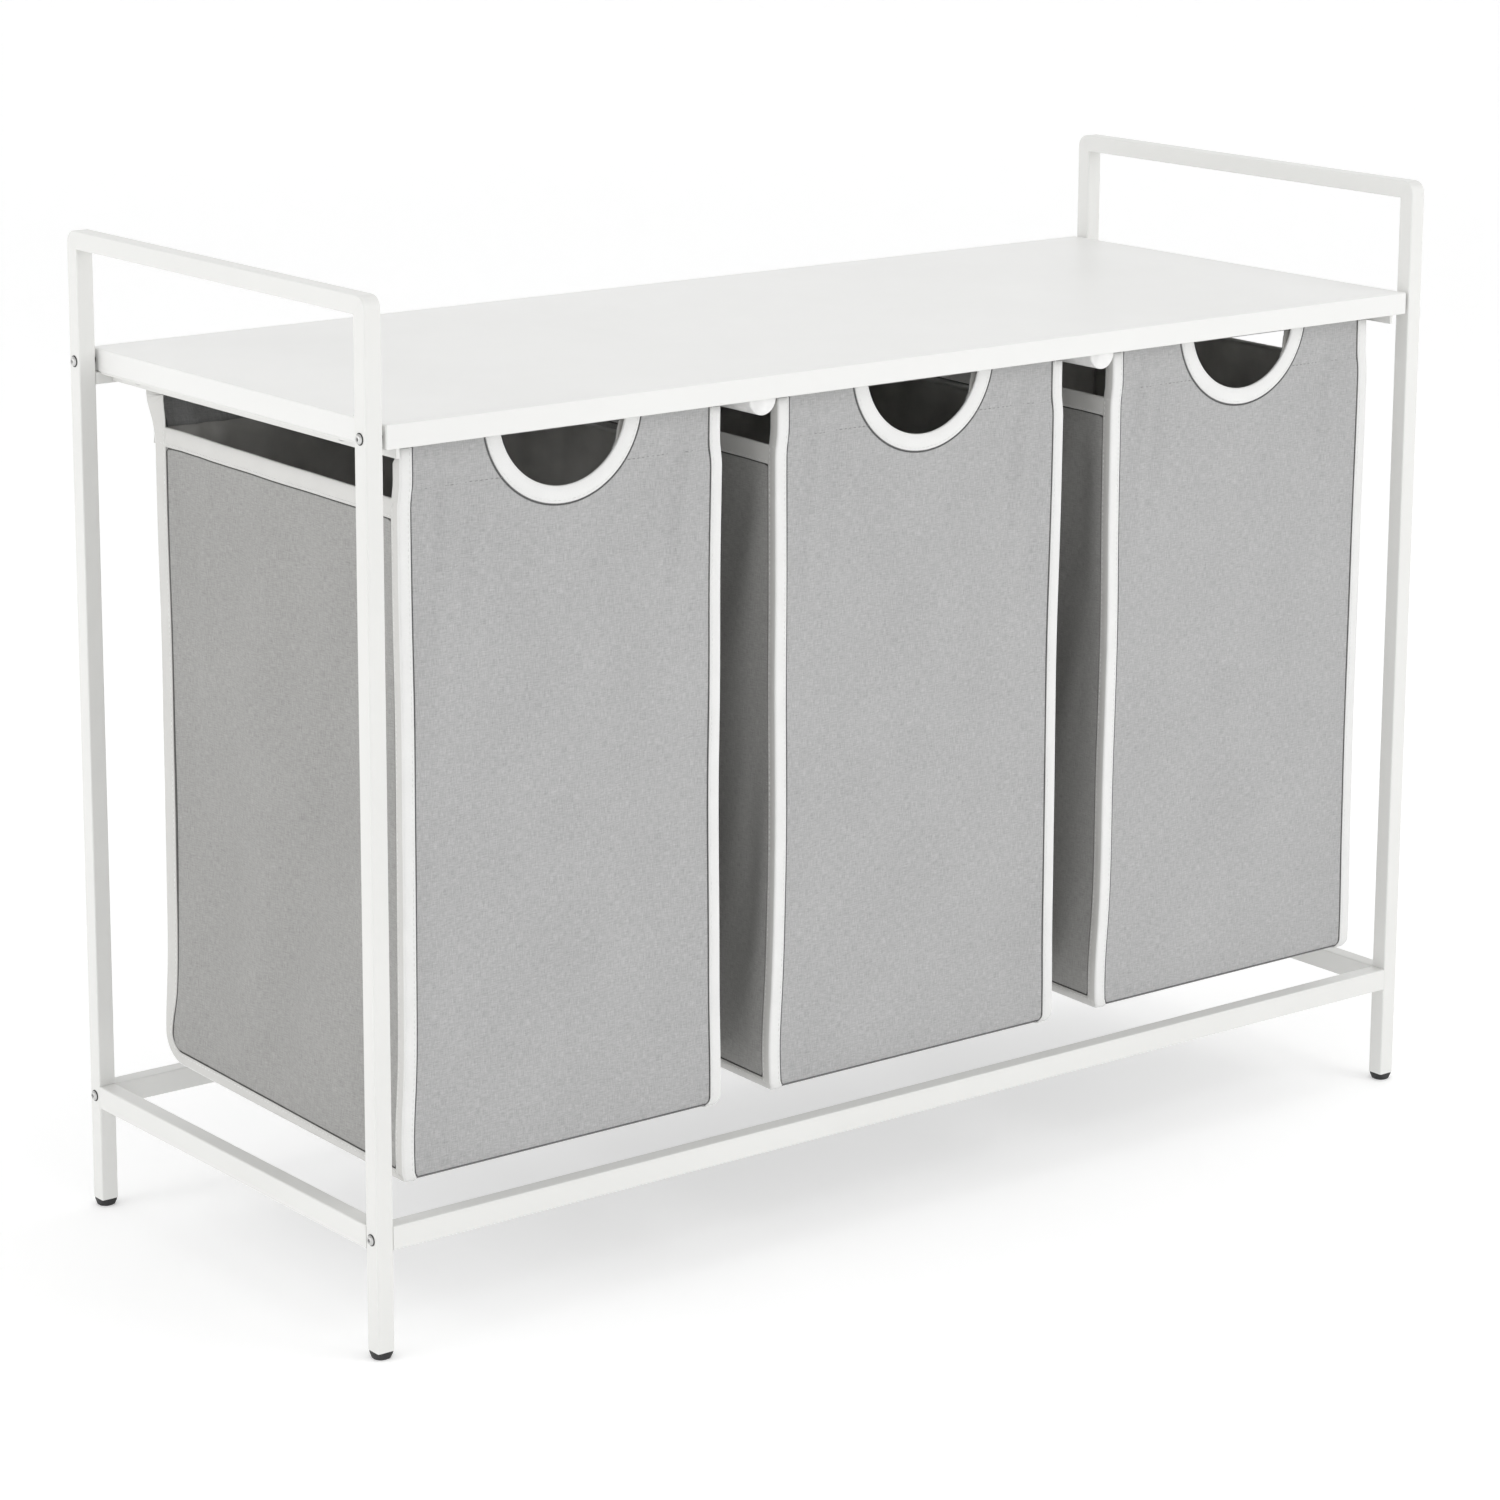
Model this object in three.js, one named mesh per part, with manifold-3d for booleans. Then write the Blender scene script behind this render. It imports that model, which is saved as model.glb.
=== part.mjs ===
// A three-bag laundry sorter with a shelf: two welded end frames of square tube, three cross
// rails, a laminated board, four slide rails under the board, and three pull-out fabric bags,
// each hung on a wire frame. Millimetres, +Z up, +Y to the back, origin on the floor in the middle.
import * as THREE from "three";
import { mergeVertices } from "three/addons/utils/BufferGeometryUtils.js";
import Module from "manifold-3d";

// ---- driving dimensions ----
const WIDTH = 925; // over the outer faces of the end frames
const DEPTH = 364;
const HEIGHT = 690;

const TUBE = 12.7; // half-inch square tube
const TUBE_WALL = 1.2;
const TUBE_EDGE = 1.0; // radius along the tube's edges
const HOOP_CORNER = 9; // outer radius where a leg turns into the handle
const WELD_GAP = 0.03; // left open at a welded joint, on each side
const FOOT_HEIGHT = 5;

const BOARD_TOP = 609;
const BOARD_THICK = 16;
const BOARD_END_GAP = 2.5; // between the board's end and the leg
const BOARD_EDGE = 0.8;

const LOWER_RAIL_TOP = 89;
const LOWER_RAIL_HEIGHT = 16;
const RAIL_END_PLATE = 3;
const BACK_RAIL_HEIGHT = 8.5; // the upper back rail, right under the board

const BOLT_RADIUS = 2;
const BOLT_HEAD_RADIUS = 3.8;
const BOLT_HEAD_HEIGHT = 2.2;
const BOLT_SOCKET = 2.5; // across flats
const SCREW_RADIUS = 1.7;
const SCREW_HEAD_RADIUS = 3.2;
const SCREW_HEAD_HEIGHT = 1.6;
const CLEARANCE = 0.3; // around every bolt, screw and plug

const BAY = 300; // from one slide rail to the next
const NOSE_RADIUS = 11; // half-round body of a middle slide rail
const SLIDE_FRONT = -DEPTH / 2 + 4;
const SLIDE_BACK = DEPTH / 2 - TUBE - 1;
const LEDGE_FRONT = -150; // the ledge that carries a bag's wire
const LEDGE_BACK = 149;
const LEDGE_THICK = 1.2;
const LEDGE_OUTER_WALL = 2.5;
const STOP_LENGTH = 2;

const WIRE = 4; // wire diameter
const WIRE_DROP = 3.4; // from the board's underside to the wire's middle
const WIRE_HALF_WIDTH = 132;
const WIRE_FRONT = -159;
const WIRE_BACK = 142;
const WIRE_BEND = 7; // middle radius of the wire frame's corners

const BAG_WIDTH = 254;
const BAG_FRONT = -163; // outer face of the front panel
const BAG_BACK = 132; // outer face of the back panel below its sleeve
const BAG_BOTTOM = 107;
const CLOTH = 1.6; // thickness that stands for cloth, lining and seam
const SIDE_TOP = 557; // top edge of the side panels
const FLARE_BOTTOM = 545; // where the back panel starts to lean out to its wire
const FLARE_TOP = 578;
const SLEEVE_TOP = 592;
const HAND_HOLE_RADIUS = 51.5;
const HAND_HOLE_MIDDLE = 596.5;
const BASE_BOARD = { thick: 2.5, inset: 4, lift: 0.4 };

// ---- worked out from them ----
const HALF_WIDTH = WIDTH / 2;
const HALF_DEPTH = DEPTH / 2;
const LEG_MIDDLE_Y = HALF_DEPTH - TUBE / 2;
const LEG_INNER_X = HALF_WIDTH - TUBE;
const BOARD_UNDER = BOARD_TOP - BOARD_THICK;
const BOARD_END_X = LEG_INNER_X - BOARD_END_GAP;
const LOWER_RAIL_MIDDLE = LOWER_RAIL_TOP - LOWER_RAIL_HEIGHT / 2;
const WIRE_Z = BOARD_UNDER - WIRE_DROP;
const LEDGE_TOP = WIRE_Z - WIRE / 2 - 0.2;
const WIRE_FROM_SLIDE = BAY / 2 - WIRE_HALF_WIDTH; // slide rail's middle to the wire's middle
const BOLT_HEIGHTS = [BOARD_TOP - BOARD_THICK / 2, LOWER_RAIL_MIDDLE];
const SLIDE_SCREW_Y = [-125, 125];
const BACK_SCREW_X = [-250, 250];

// ---- finishes ----
const finish = (color, roughness, metalness) =>
  new THREE.MeshStandardMaterial({ color, roughness, metalness });
const WHITE_STEEL = finish(0xf0f0ee, 0.45, 0.1);
const WHITE_BOARD = finish(0xf4f4f2, 0.4, 0);
const WHITE_PLASTIC = finish(0xeeeeec, 0.5, 0);
const BRIGHT_STEEL = finish(0xb8b8b6, 0.3, 1);
const BLACK_PLASTIC = finish(0x262626, 0.6, 0);
const GREY_CLOTH = finish(0xb4b5b6, 0.95, 0);
const GREY_BOARD = finish(0x8f8f8e, 0.9, 0);

// ---- solids: joining and cutting ----
const wasm = await Module();
wasm.setup();

// A three.js geometry as a solid, with only its positions kept.
function solid(geometry) {
  const bare = geometry.index ? geometry.toNonIndexed() : geometry.clone();
  bare.deleteAttribute("normal");
  bare.deleteAttribute("uv");
  const merged = mergeVertices(bare, 1e-4);
  return new wasm.Manifold(
    new wasm.Mesh({
      numProp: 3,
      vertProperties: merged.attributes.position.array,
      triVerts: new Uint32Array(merged.index.array),
    }),
  );
}

// A solid back as a geometry, with flat faces.
function geometryOf(made) {
  const mesh = made.getMesh();
  const geometry = new THREE.BufferGeometry();
  geometry.setAttribute("position", new THREE.BufferAttribute(mesh.vertProperties, 3));
  geometry.setIndex(new THREE.BufferAttribute(mesh.triVerts, 1));
  const flat = geometry.toNonIndexed();
  flat.computeVertexNormals();
  return flat;
}

const join = (...solids) => solids.reduce((whole, part) => whole.add(part));
const cut = (whole, ...tools) => tools.reduce((left, tool) => left.subtract(tool), whole);

function box(xs, ys, zs) {
  const geometry = new THREE.BoxGeometry(xs[1] - xs[0], ys[1] - ys[0], zs[1] - zs[0]);
  return solid(
    geometry.translate((xs[0] + xs[1]) / 2, (ys[0] + ys[1]) / 2, (zs[0] + zs[1]) / 2),
  );
}

// A round bar along X from x0 to x1.
function barX(radius, x0, x1, y, z, sides = 16) {
  const geometry = new THREE.CylinderGeometry(radius, radius, x1 - x0, sides);
  return solid(geometry.rotateZ(Math.PI / 2).translate((x0 + x1) / 2, y, z));
}

// A round bar along Z from z0 to z1.
function barZ(radius, x, y, z0, z1, sides = 12) {
  const geometry = new THREE.CylinderGeometry(radius, radius, z1 - z0, sides);
  return solid(geometry.rotateX(Math.PI / 2).translate(x, y, (z0 + z1) / 2));
}

// ---- outlines ----
const polygon = (points) => new THREE.Shape(points.map(([a, b]) => new THREE.Vector2(a, b)));

function roundedRectangle(width, height, radius, path = new THREE.Shape()) {
  const a = width / 2;
  const b = height / 2;
  path.moveTo(-a + radius, -b);
  path.lineTo(a - radius, -b);
  path.absarc(a - radius, -b + radius, radius, -Math.PI / 2, 0);
  path.lineTo(a, b - radius);
  path.absarc(a - radius, b - radius, radius, 0, Math.PI / 2);
  path.lineTo(-a + radius, b);
  path.absarc(-a + radius, b - radius, radius, Math.PI / 2, Math.PI);
  path.lineTo(-a, -b + radius);
  path.absarc(-a + radius, -b + radius, radius, Math.PI, 1.5 * Math.PI);
  return path;
}

// An outline in the Y-Z plane, extruded along X from x0 to x1.
function extrudeAlongX(shape, x0, x1, options = {}) {
  const bevel = options.bevel ?? 0;
  const geometry = new THREE.ExtrudeGeometry(shape, {
    depth: x1 - x0 - 2 * bevel,
    bevelEnabled: bevel > 0,
    bevelThickness: bevel,
    bevelSize: bevel,
    bevelOffset: -bevel,
    bevelSegments: options.bevelSegments ?? 1,
    curveSegments: options.curveSegments ?? 6,
  });
  // the outline's own axes become Y and Z, and the depth becomes X
  const turn = new THREE.Matrix4().makeBasis(
    new THREE.Vector3(0, 1, 0),
    new THREE.Vector3(0, 0, 1),
    new THREE.Vector3(1, 0, 0),
  );
  return solid(geometry.applyMatrix4(turn).translate(x0 + bevel, 0, 0));
}

// An outline in the X-Z plane, extruded along Y from y0 to y1.
function extrudeAlongY(shape, y0, y1, options = {}) {
  const bevel = options.bevel ?? 0;
  const geometry = new THREE.ExtrudeGeometry(shape, {
    depth: y1 - y0 - 2 * bevel,
    bevelEnabled: bevel > 0,
    bevelThickness: bevel,
    bevelSize: bevel,
    bevelOffset: -bevel,
    bevelSegments: options.bevelSegments ?? 1,
    curveSegments: options.curveSegments ?? 8,
  });
  return solid(geometry.rotateX(Math.PI / 2).translate(0, y1 - bevel, 0));
}

// ---- end frames ----
// The arch of an end frame in the Y-Z plane. A positive inset gives the bore inside the tube.
function archOutline(inset) {
  const side = HALF_DEPTH - inset;
  const top = HEIGHT - inset;
  const inner = HALF_DEPTH - TUBE + inset;
  const innerTop = HEIGHT - TUBE + inset;
  const radius = HOOP_CORNER - inset;
  const low = -20;
  const shape = new THREE.Shape();
  shape.moveTo(-side, low);
  shape.lineTo(-inner, low);
  shape.lineTo(-inner, innerTop);
  shape.lineTo(inner, innerTop);
  shape.lineTo(inner, low);
  shape.lineTo(side, low);
  shape.lineTo(side, top - radius);
  shape.absarc(side - radius, top - radius, radius, 0, Math.PI / 2);
  shape.lineTo(-side + radius, top);
  shape.absarc(-side + radius, top - radius, radius, Math.PI / 2, Math.PI);
  return shape;
}

// What a leg or the handle keeps of the arch: the mitres run at 45 degrees from the outer corners.
function legRegion(back) {
  const points = [
    [-HALF_DEPTH - 10, FOOT_HEIGHT],
    [-WELD_GAP, FOOT_HEIGHT],
    [-WELD_GAP, HEIGHT - HALF_DEPTH],
    [-HALF_DEPTH - 10 - WELD_GAP, HEIGHT + 10],
  ];
  return polygon(back ? points.map(([y, z]) => [-y, z]).reverse() : points);
}

function handleRegion() {
  return polygon([
    [0, HEIGHT - HALF_DEPTH + 2 * WELD_GAP],
    [HALF_DEPTH + 10, HEIGHT + 10 + 2 * WELD_GAP],
    [-HALF_DEPTH - 10, HEIGHT + 10 + 2 * WELD_GAP],
  ]);
}

// side is -1 for the left end frame and +1 for the right one.
function endFrame(side, name) {
  const outer = side * HALF_WIDTH;
  const inner = side * LEG_INNER_X;
  const [x0, x1] = [Math.min(outer, inner), Math.max(outer, inner)];
  const bevelled = { bevel: TUBE_EDGE, bevelSegments: 2 };
  const skin = extrudeAlongX(archOutline(0), x0, x1, bevelled);
  const bore = extrudeAlongX(archOutline(TUBE_WALL), x0 + TUBE_WALL, x1 - TUBE_WALL);
  const arch = cut(skin, bore);
  const keep = (region) => arch.intersect(extrudeAlongX(region, x0 - 1, x1 + 1));

  const group = new THREE.Group();
  for (const [back, word] of [[false, "front"], [true, "back"]]) {
    const y = back ? LEG_MIDDLE_Y : -LEG_MIDDLE_Y;
    const holes = BOLT_HEIGHTS.map((z) => barX(BOLT_RADIUS + CLEARANCE, x0 - 1, x1 + 1, y, z, 12));
    addNode(group, `${name}_${word}_leg`, cut(keep(legRegion(back)), ...holes), WHITE_STEEL);
    addNode(group, `${name}_${word}_foot`, foot(side * (HALF_WIDTH - TUBE / 2), y), BLACK_PLASTIC);
  }
  addNode(group, `${name}_handle`, keep(handleRegion()), WHITE_STEEL);

  const run = HALF_DEPTH - TUBE - WELD_GAP;
  const section = roundedRectangle(TUBE, LOWER_RAIL_HEIGHT, TUBE_EDGE);
  section.holes.push(
    polygon(rectanglePoints(TUBE - 2 * TUBE_WALL, LOWER_RAIL_HEIGHT - 2 * TUBE_WALL)),
  );
  const rail = extrudeAlongY(section, -run, run, { curveSegments: 2 });
  addNode(
    group,
    `${name}_lower_side_rail`,
    rail.translate([side * (HALF_WIDTH - TUBE / 2), 0, LOWER_RAIL_MIDDLE]),
    WHITE_STEEL,
  );
  return group;
}

function rectanglePoints(width, height) {
  const a = width / 2;
  const b = height / 2;
  return [[-a, -b], [a, -b], [a, b], [-a, b]];
}

// A glide foot: a rounded pad below the tube and a plug that fits inside it.
function foot(x, y) {
  const pad = new THREE.ExtrudeGeometry(roundedRectangle(TUBE - 0.4, TUBE - 0.4, 1.6), {
    depth: FOOT_HEIGHT - WELD_GAP - 1.4,
    bevelThickness: 1.4,
    bevelSize: 1.2,
    bevelOffset: -1.2,
    bevelSegments: 3,
    curveSegments: 3,
  });
  // the bevel is kept only at the floor; the pad's top is flat against the tube's end
  const padSolid = cut(
    solid(pad.translate(x, y, 1.4)),
    box([x - 10, x + 10], [y - 10, y + 10], [FOOT_HEIGHT - WELD_GAP, FOOT_HEIGHT + 5]),
  );
  const half = TUBE / 2 - TUBE_WALL - CLEARANCE;
  const plug = box([x - half, x + half], [y - half, y + half], [FOOT_HEIGHT - 1, FOOT_HEIGHT + 14]);
  return join(padSolid, plug);
}

// ---- cross rails and board ----
// A square-tube rail along X between the legs, with a drilled plate welded into each end.
function crossRail(y, z, height) {
  const reach = LEG_INNER_X - WELD_GAP;
  const section = roundedRectangle(TUBE, height, TUBE_EDGE);
  const skin = extrudeAlongX(section, -reach, reach, { curveSegments: 2 });
  const bore = box(
    [-reach + RAIL_END_PLATE, reach - RAIL_END_PLATE],
    [-TUBE / 2 + TUBE_WALL, TUBE / 2 - TUBE_WALL],
    [-height / 2 + TUBE_WALL, height / 2 - TUBE_WALL],
  );
  const hole = barX(BOLT_RADIUS + CLEARANCE, -reach - 1, reach + 1, 0, 0, 12);
  return cut(skin, bore, hole).translate([0, y, z]);
}

function backRail() {
  const reach = LEG_INNER_X - WELD_GAP;
  const z = BOARD_UNDER - BACK_RAIL_HEIGHT / 2;
  const section = roundedRectangle(TUBE, BACK_RAIL_HEIGHT - 0.1, TUBE_EDGE);
  const bar = extrudeAlongX(section, -reach, reach, { curveSegments: 2 });
  const bore = extrudeAlongX(
    polygon(rectanglePoints(TUBE - 2 * TUBE_WALL, BACK_RAIL_HEIGHT - 2 * TUBE_WALL)),
    -reach - 1,
    reach + 1,
  );
  const tube = cut(bar, bore).translate([0, LEG_MIDDLE_Y, z]);
  return cut(
    tube,
    ...BACK_SCREW_X.map((x) =>
      barZ(SCREW_RADIUS + CLEARANCE, x, LEG_MIDDLE_Y, z - 20, BOARD_UNDER + 1),
    ),
  );
}

function board() {
  const section = roundedRectangle(DEPTH, BOARD_THICK, 1.5 * BOARD_EDGE);
  const slab = extrudeAlongX(section, -BOARD_END_X, BOARD_END_X, {
    bevel: BOARD_EDGE,
    curveSegments: 2,
  }).translate([0, 0, BOARD_TOP - BOARD_THICK / 2]);
  const tools = [];
  for (const side of [-1, 1])
    for (const y of [-LEG_MIDDLE_Y, LEG_MIDDLE_Y]) {
      const ends = [side * (BOARD_END_X + 1), side * (BOARD_END_X - 26)];
      tools.push(
        barX(BOLT_RADIUS + CLEARANCE, Math.min(...ends), Math.max(...ends), y, BOLT_HEIGHTS[0], 12),
      );
    }
  for (const [x, y] of [...slideScrewPlaces(), ...BACK_SCREW_X.map((x) => [x, LEG_MIDDLE_Y])])
    tools.push(barZ(SCREW_RADIUS + CLEARANCE, x, y, BOARD_UNDER - 1, BOARD_UNDER + 12, 8));
  return cut(slab, ...tools);
}

// ---- fasteners ----
// A button-head bolt along X. Its head sits on the outer face of a leg and its shank points inwards.
function bolt(side, y, z, length) {
  const profile = [
    [0, BOLT_HEAD_HEIGHT],
    [BOLT_HEAD_RADIUS * 0.45, BOLT_HEAD_HEIGHT],
    [BOLT_HEAD_RADIUS * 0.8, BOLT_HEAD_HEIGHT * 0.72],
    [BOLT_HEAD_RADIUS, 0.35],
    [BOLT_HEAD_RADIUS, 0],
    [BOLT_RADIUS, 0],
    [BOLT_RADIUS, -length],
    [0, -length],
  ].reverse();
  const body = solid(
    new THREE.LatheGeometry(profile.map(([r, h]) => new THREE.Vector2(r, h)), 16),
  );
  const socket = solid(
    new THREE.CylinderGeometry(BOLT_SOCKET / Math.sqrt(3), BOLT_SOCKET / Math.sqrt(3), 3, 6)
      .translate(0, BOLT_HEAD_HEIGHT, 0),
  );
  const x = side * (HALF_WIDTH + 0.02);
  return cut(body, socket).rotate([0, 0, side < 0 ? 90 : -90]).translate([x, y, z]);
}

// A pan-head screw pointing up into the board; z is the underside of what it holds.
function woodScrew(x, y, z, length) {
  const profile = [
    [0, length],
    [SCREW_RADIUS * 0.25, length - 0.8],
    [SCREW_RADIUS, length - 3],
    [SCREW_RADIUS, 0],
    [SCREW_HEAD_RADIUS, 0],
    [SCREW_HEAD_RADIUS, -SCREW_HEAD_HEIGHT * 0.45],
    [SCREW_HEAD_RADIUS * 0.7, -SCREW_HEAD_HEIGHT],
    [0, -SCREW_HEAD_HEIGHT],
  ].reverse();
  const body = solid(
    new THREE.LatheGeometry(profile.map(([r, h]) => new THREE.Vector2(r, h)), 12),
  );
  const bar = (a, b) => box([-a, a], [-SCREW_HEAD_HEIGHT - 1, -SCREW_HEAD_HEIGHT + 0.9], [-b, b]);
  const crossed = cut(body, join(bar(1.9, 0.4), bar(0.4, 1.9)));
  return crossed.rotate([90, 0, 0]).translate([x, y, z - 0.05]);
}

// ---- slide rails ----
function slideScrewPlaces() {
  const outer = outerSlideScrewX();
  return [-outer, -BAY / 2, BAY / 2, outer].flatMap((x) => SLIDE_SCREW_Y.map((y) => [x, y]));
}

// A rail shared by two bags: a half-round body with a ledge on each side.
function middleSlide(x) {
  const gap = 0.05;
  const half = new THREE.Shape();
  half.moveTo(NOSE_RADIUS, -gap);
  half.lineTo(-NOSE_RADIUS, -gap);
  half.absarc(0, -gap, NOSE_RADIUS, Math.PI, 2 * Math.PI);
  const body = extrudeAlongY(half, SLIDE_FRONT, SLIDE_BACK, { bevel: 0.6 })
    .translate([0, 0, BOARD_UNDER]);
  const reach = WIRE_FROM_SLIDE + WIRE / 2 + 1;
  const ledge = box([-reach, reach], [LEDGE_FRONT, LEDGE_BACK], [LEDGE_TOP - LEDGE_THICK, LEDGE_TOP]);
  const stop = box(
    [-reach, reach],
    [LEDGE_BACK - STOP_LENGTH, LEDGE_BACK],
    [LEDGE_TOP - LEDGE_THICK, BOARD_UNDER - gap],
  );
  const seat = BOARD_UNDER - 6;
  const drills = SLIDE_SCREW_Y.flatMap((y) => [
    barZ(SCREW_RADIUS + CLEARANCE, 0, y, BOARD_UNDER - 30, BOARD_UNDER + 1),
    barZ(SCREW_HEAD_RADIUS + CLEARANCE, 0, y, BOARD_UNDER - 30, seat),
  ]);
  return cut(join(body, ledge, stop), ...drills).translate([x, 0, 0]);
}

const outerWallX = () => BAY + BAY / 2 - WIRE_FROM_SLIDE + WIRE / 2 + 1;
const outerSlideScrewX = () => outerWallX() + LEDGE_OUTER_WALL + 4.4;

// A rail for the outer side of an end bag: bent sheet with a ledge inwards and a lip under the board.
function outerSlide(side) {
  const gap = 0.05;
  const wall = outerWallX();
  const lip = outerSlideScrewX() + 4.6;
  const ledgeEdge = wall - WIRE - 2;
  const under = BOARD_UNDER - gap;
  const span = (a, b) => [Math.min(side * a, side * b), Math.max(side * a, side * b)];
  const rail = join(
    box(span(wall, wall + LEDGE_OUTER_WALL), [SLIDE_FRONT, SLIDE_BACK], [LEDGE_TOP - LEDGE_THICK, under]),
    box(span(ledgeEdge, wall + 1), [LEDGE_FRONT, LEDGE_BACK], [LEDGE_TOP - LEDGE_THICK, LEDGE_TOP]),
    box(span(wall + 1, lip), [SLIDE_FRONT + 12, SLIDE_BACK], [under - LEDGE_THICK, under]),
    box(
      span(ledgeEdge, wall + 1),
      [LEDGE_BACK - STOP_LENGTH, LEDGE_BACK],
      [LEDGE_TOP - LEDGE_THICK, under],
    ),
  );
  const x = side * outerSlideScrewX();
  const drills = SLIDE_SCREW_Y.map((y) =>
    barZ(SCREW_RADIUS + CLEARANCE, x, y, BOARD_UNDER - 30, BOARD_UNDER + 1),
  );
  return cut(rail, ...drills);
}

// ---- bags ----
// Everything of one bag about its own middle; the group is then moved to its bay.
function bag(name) {
  const half = BAG_WIDTH / 2;
  const group = new THREE.Group();
  const add = (word, made, material) => addNode(group, `${name}_${word}`, made, material);

  const front = new THREE.Shape();
  const halfChord = Math.sqrt(HAND_HOLE_RADIUS ** 2 - (HAND_HOLE_MIDDLE - SLEEVE_TOP) ** 2);
  const lean = Math.asin((HAND_HOLE_MIDDLE - SLEEVE_TOP) / HAND_HOLE_RADIUS);
  front.moveTo(-half, BAG_BOTTOM);
  front.lineTo(half, BAG_BOTTOM);
  front.lineTo(half, SLEEVE_TOP);
  front.lineTo(halfChord, SLEEVE_TOP);
  front.absarc(0, HAND_HOLE_MIDDLE, HAND_HOLE_RADIUS, -lean, Math.PI + lean, true);
  front.lineTo(-half, SLEEVE_TOP);
  add(
    "front_panel",
    extrudeAlongY(front, BAG_FRONT, BAG_FRONT + CLOTH, { curveSegments: 16 }),
    GREY_CLOTH,
  );

  const wireSkin = WIRE_BACK + WIRE / 2 + 0.2;
  const back = polygon([
    [BAG_BACK - CLOTH, BAG_BOTTOM],
    [BAG_BACK, BAG_BOTTOM],
    [BAG_BACK, FLARE_BOTTOM],
    [wireSkin + CLOTH, FLARE_TOP],
    [wireSkin + CLOTH, SLEEVE_TOP],
    [wireSkin, SLEEVE_TOP],
    [wireSkin, FLARE_TOP],
    [BAG_BACK - CLOTH, FLARE_BOTTOM],
  ]);
  add("back_panel", extrudeAlongX(back, -half, half), GREY_CLOTH);

  const inFront = BAG_FRONT + CLOTH + WELD_GAP;
  const inBack = BAG_BACK - CLOTH - WELD_GAP;
  for (const [side, word] of [[-1, "left"], [1, "right"]]) {
    const xs = [side * half, side * (half - CLOTH)].sort((a, b) => a - b);
    add(`${word}_panel`, box(xs, [inFront, inBack], [BAG_BOTTOM, SIDE_TOP]), GREY_CLOTH);
  }
  const inSide = half - CLOTH - WELD_GAP;
  add(
    "bottom_panel",
    box([-inSide, inSide], [inFront, inBack], [BAG_BOTTOM, BAG_BOTTOM + CLOTH]),
    GREY_CLOTH,
  );

  const { thick, inset, lift } = BASE_BOARD;
  const floor = BAG_BOTTOM + CLOTH + lift;
  add(
    "base_board",
    box([-half + inset, half - inset], [inFront + inset, inBack - inset], [floor, floor + thick]),
    GREY_BOARD,
  );
  add("wire_frame", wireFrame(), BRIGHT_STEEL);
  return group;
}

// A closed wire rectangle: the front and back bars run in the sleeves, the side bars on the ledges.
function wireFrame() {
  const width = 2 * WIRE_HALF_WIDTH;
  const depth = WIRE_BACK - WIRE_FRONT;
  const ring = roundedRectangle(width + WIRE, depth + WIRE, WIRE_BEND + WIRE / 2);
  ring.holes.push(
    roundedRectangle(width - WIRE, depth - WIRE, WIRE_BEND - WIRE / 2, new THREE.Path()),
  );
  const facet = WIRE / 2 - 0.02; // the two bevels meet almost at the middle and make the wire round
  const geometry = new THREE.ExtrudeGeometry(ring, {
    depth: WIRE - 2 * facet,
    bevelThickness: facet,
    bevelSize: facet,
    bevelOffset: -facet,
    bevelSegments: 3,
    curveSegments: 5,
  });
  return solid(
    geometry.translate(0, (WIRE_FRONT + WIRE_BACK) / 2, WIRE_Z - WIRE / 2 + facet),
  );
}

// ---- the whole sorter ----
function addNode(group, name, made, material) {
  const mesh = new THREE.Mesh(geometryOf(made), material);
  mesh.name = name;
  group.add(mesh);
}

const sorter = new THREE.Group();
sorter.name = "laundry_sorter";
sorter.add(endFrame(-1, "left"), endFrame(1, "right"));

addNode(
  sorter,
  "front_lower_rail",
  crossRail(-LEG_MIDDLE_Y, LOWER_RAIL_MIDDLE, LOWER_RAIL_HEIGHT),
  WHITE_STEEL,
);
addNode(
  sorter,
  "back_lower_rail",
  crossRail(LEG_MIDDLE_Y, LOWER_RAIL_MIDDLE, LOWER_RAIL_HEIGHT),
  WHITE_STEEL,
);
addNode(sorter, "back_upper_rail", backRail(), WHITE_STEEL);
addNode(sorter, "shelf_board", board(), WHITE_BOARD);

addNode(sorter, "outer_slide_left", outerSlide(-1), WHITE_STEEL);
addNode(sorter, "middle_slide_left", middleSlide(-BAY / 2), WHITE_PLASTIC);
addNode(sorter, "middle_slide_right", middleSlide(BAY / 2), WHITE_PLASTIC);
addNode(sorter, "outer_slide_right", outerSlide(1), WHITE_STEEL);

const BOLT_LENGTHS = [38, 24]; // into the board, into a lower rail
for (const [side, sideWord] of [[-1, "left"], [1, "right"]])
  for (const [y, depthWord] of [[-LEG_MIDDLE_Y, "front"], [LEG_MIDDLE_Y, "back"]])
    BOLT_HEIGHTS.forEach((z, i) => {
      const name = `${["shelf", "rail"][i]}_bolt_${sideWord}_${depthWord}`;
      addNode(sorter, name, bolt(side, y, z, BOLT_LENGTHS[i]), BRIGHT_STEEL);
    });

const SLIDE_WORDS = ["outer_left", "middle_left", "middle_right", "outer_right"];
slideScrewPlaces().forEach(([x, y], i) => {
  const middle = Math.abs(x) < BAY;
  const seat = middle ? BOARD_UNDER - 6 : BOARD_UNDER - 0.05 - LEDGE_THICK;
  const name = `slide_screw_${SLIDE_WORDS[i >> 1]}_${y < 0 ? "front" : "back"}`;
  addNode(sorter, name, woodScrew(x, y, seat, middle ? 16 : 11), BRIGHT_STEEL);
});
BACK_SCREW_X.forEach((x) => {
  const z = BOARD_UNDER - BACK_RAIL_HEIGHT;
  addNode(sorter, `back_rail_screw_${x < 0 ? "left" : "right"}`,
    woodScrew(x, LEG_MIDDLE_Y, z, 19), BRIGHT_STEEL);
});

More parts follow.
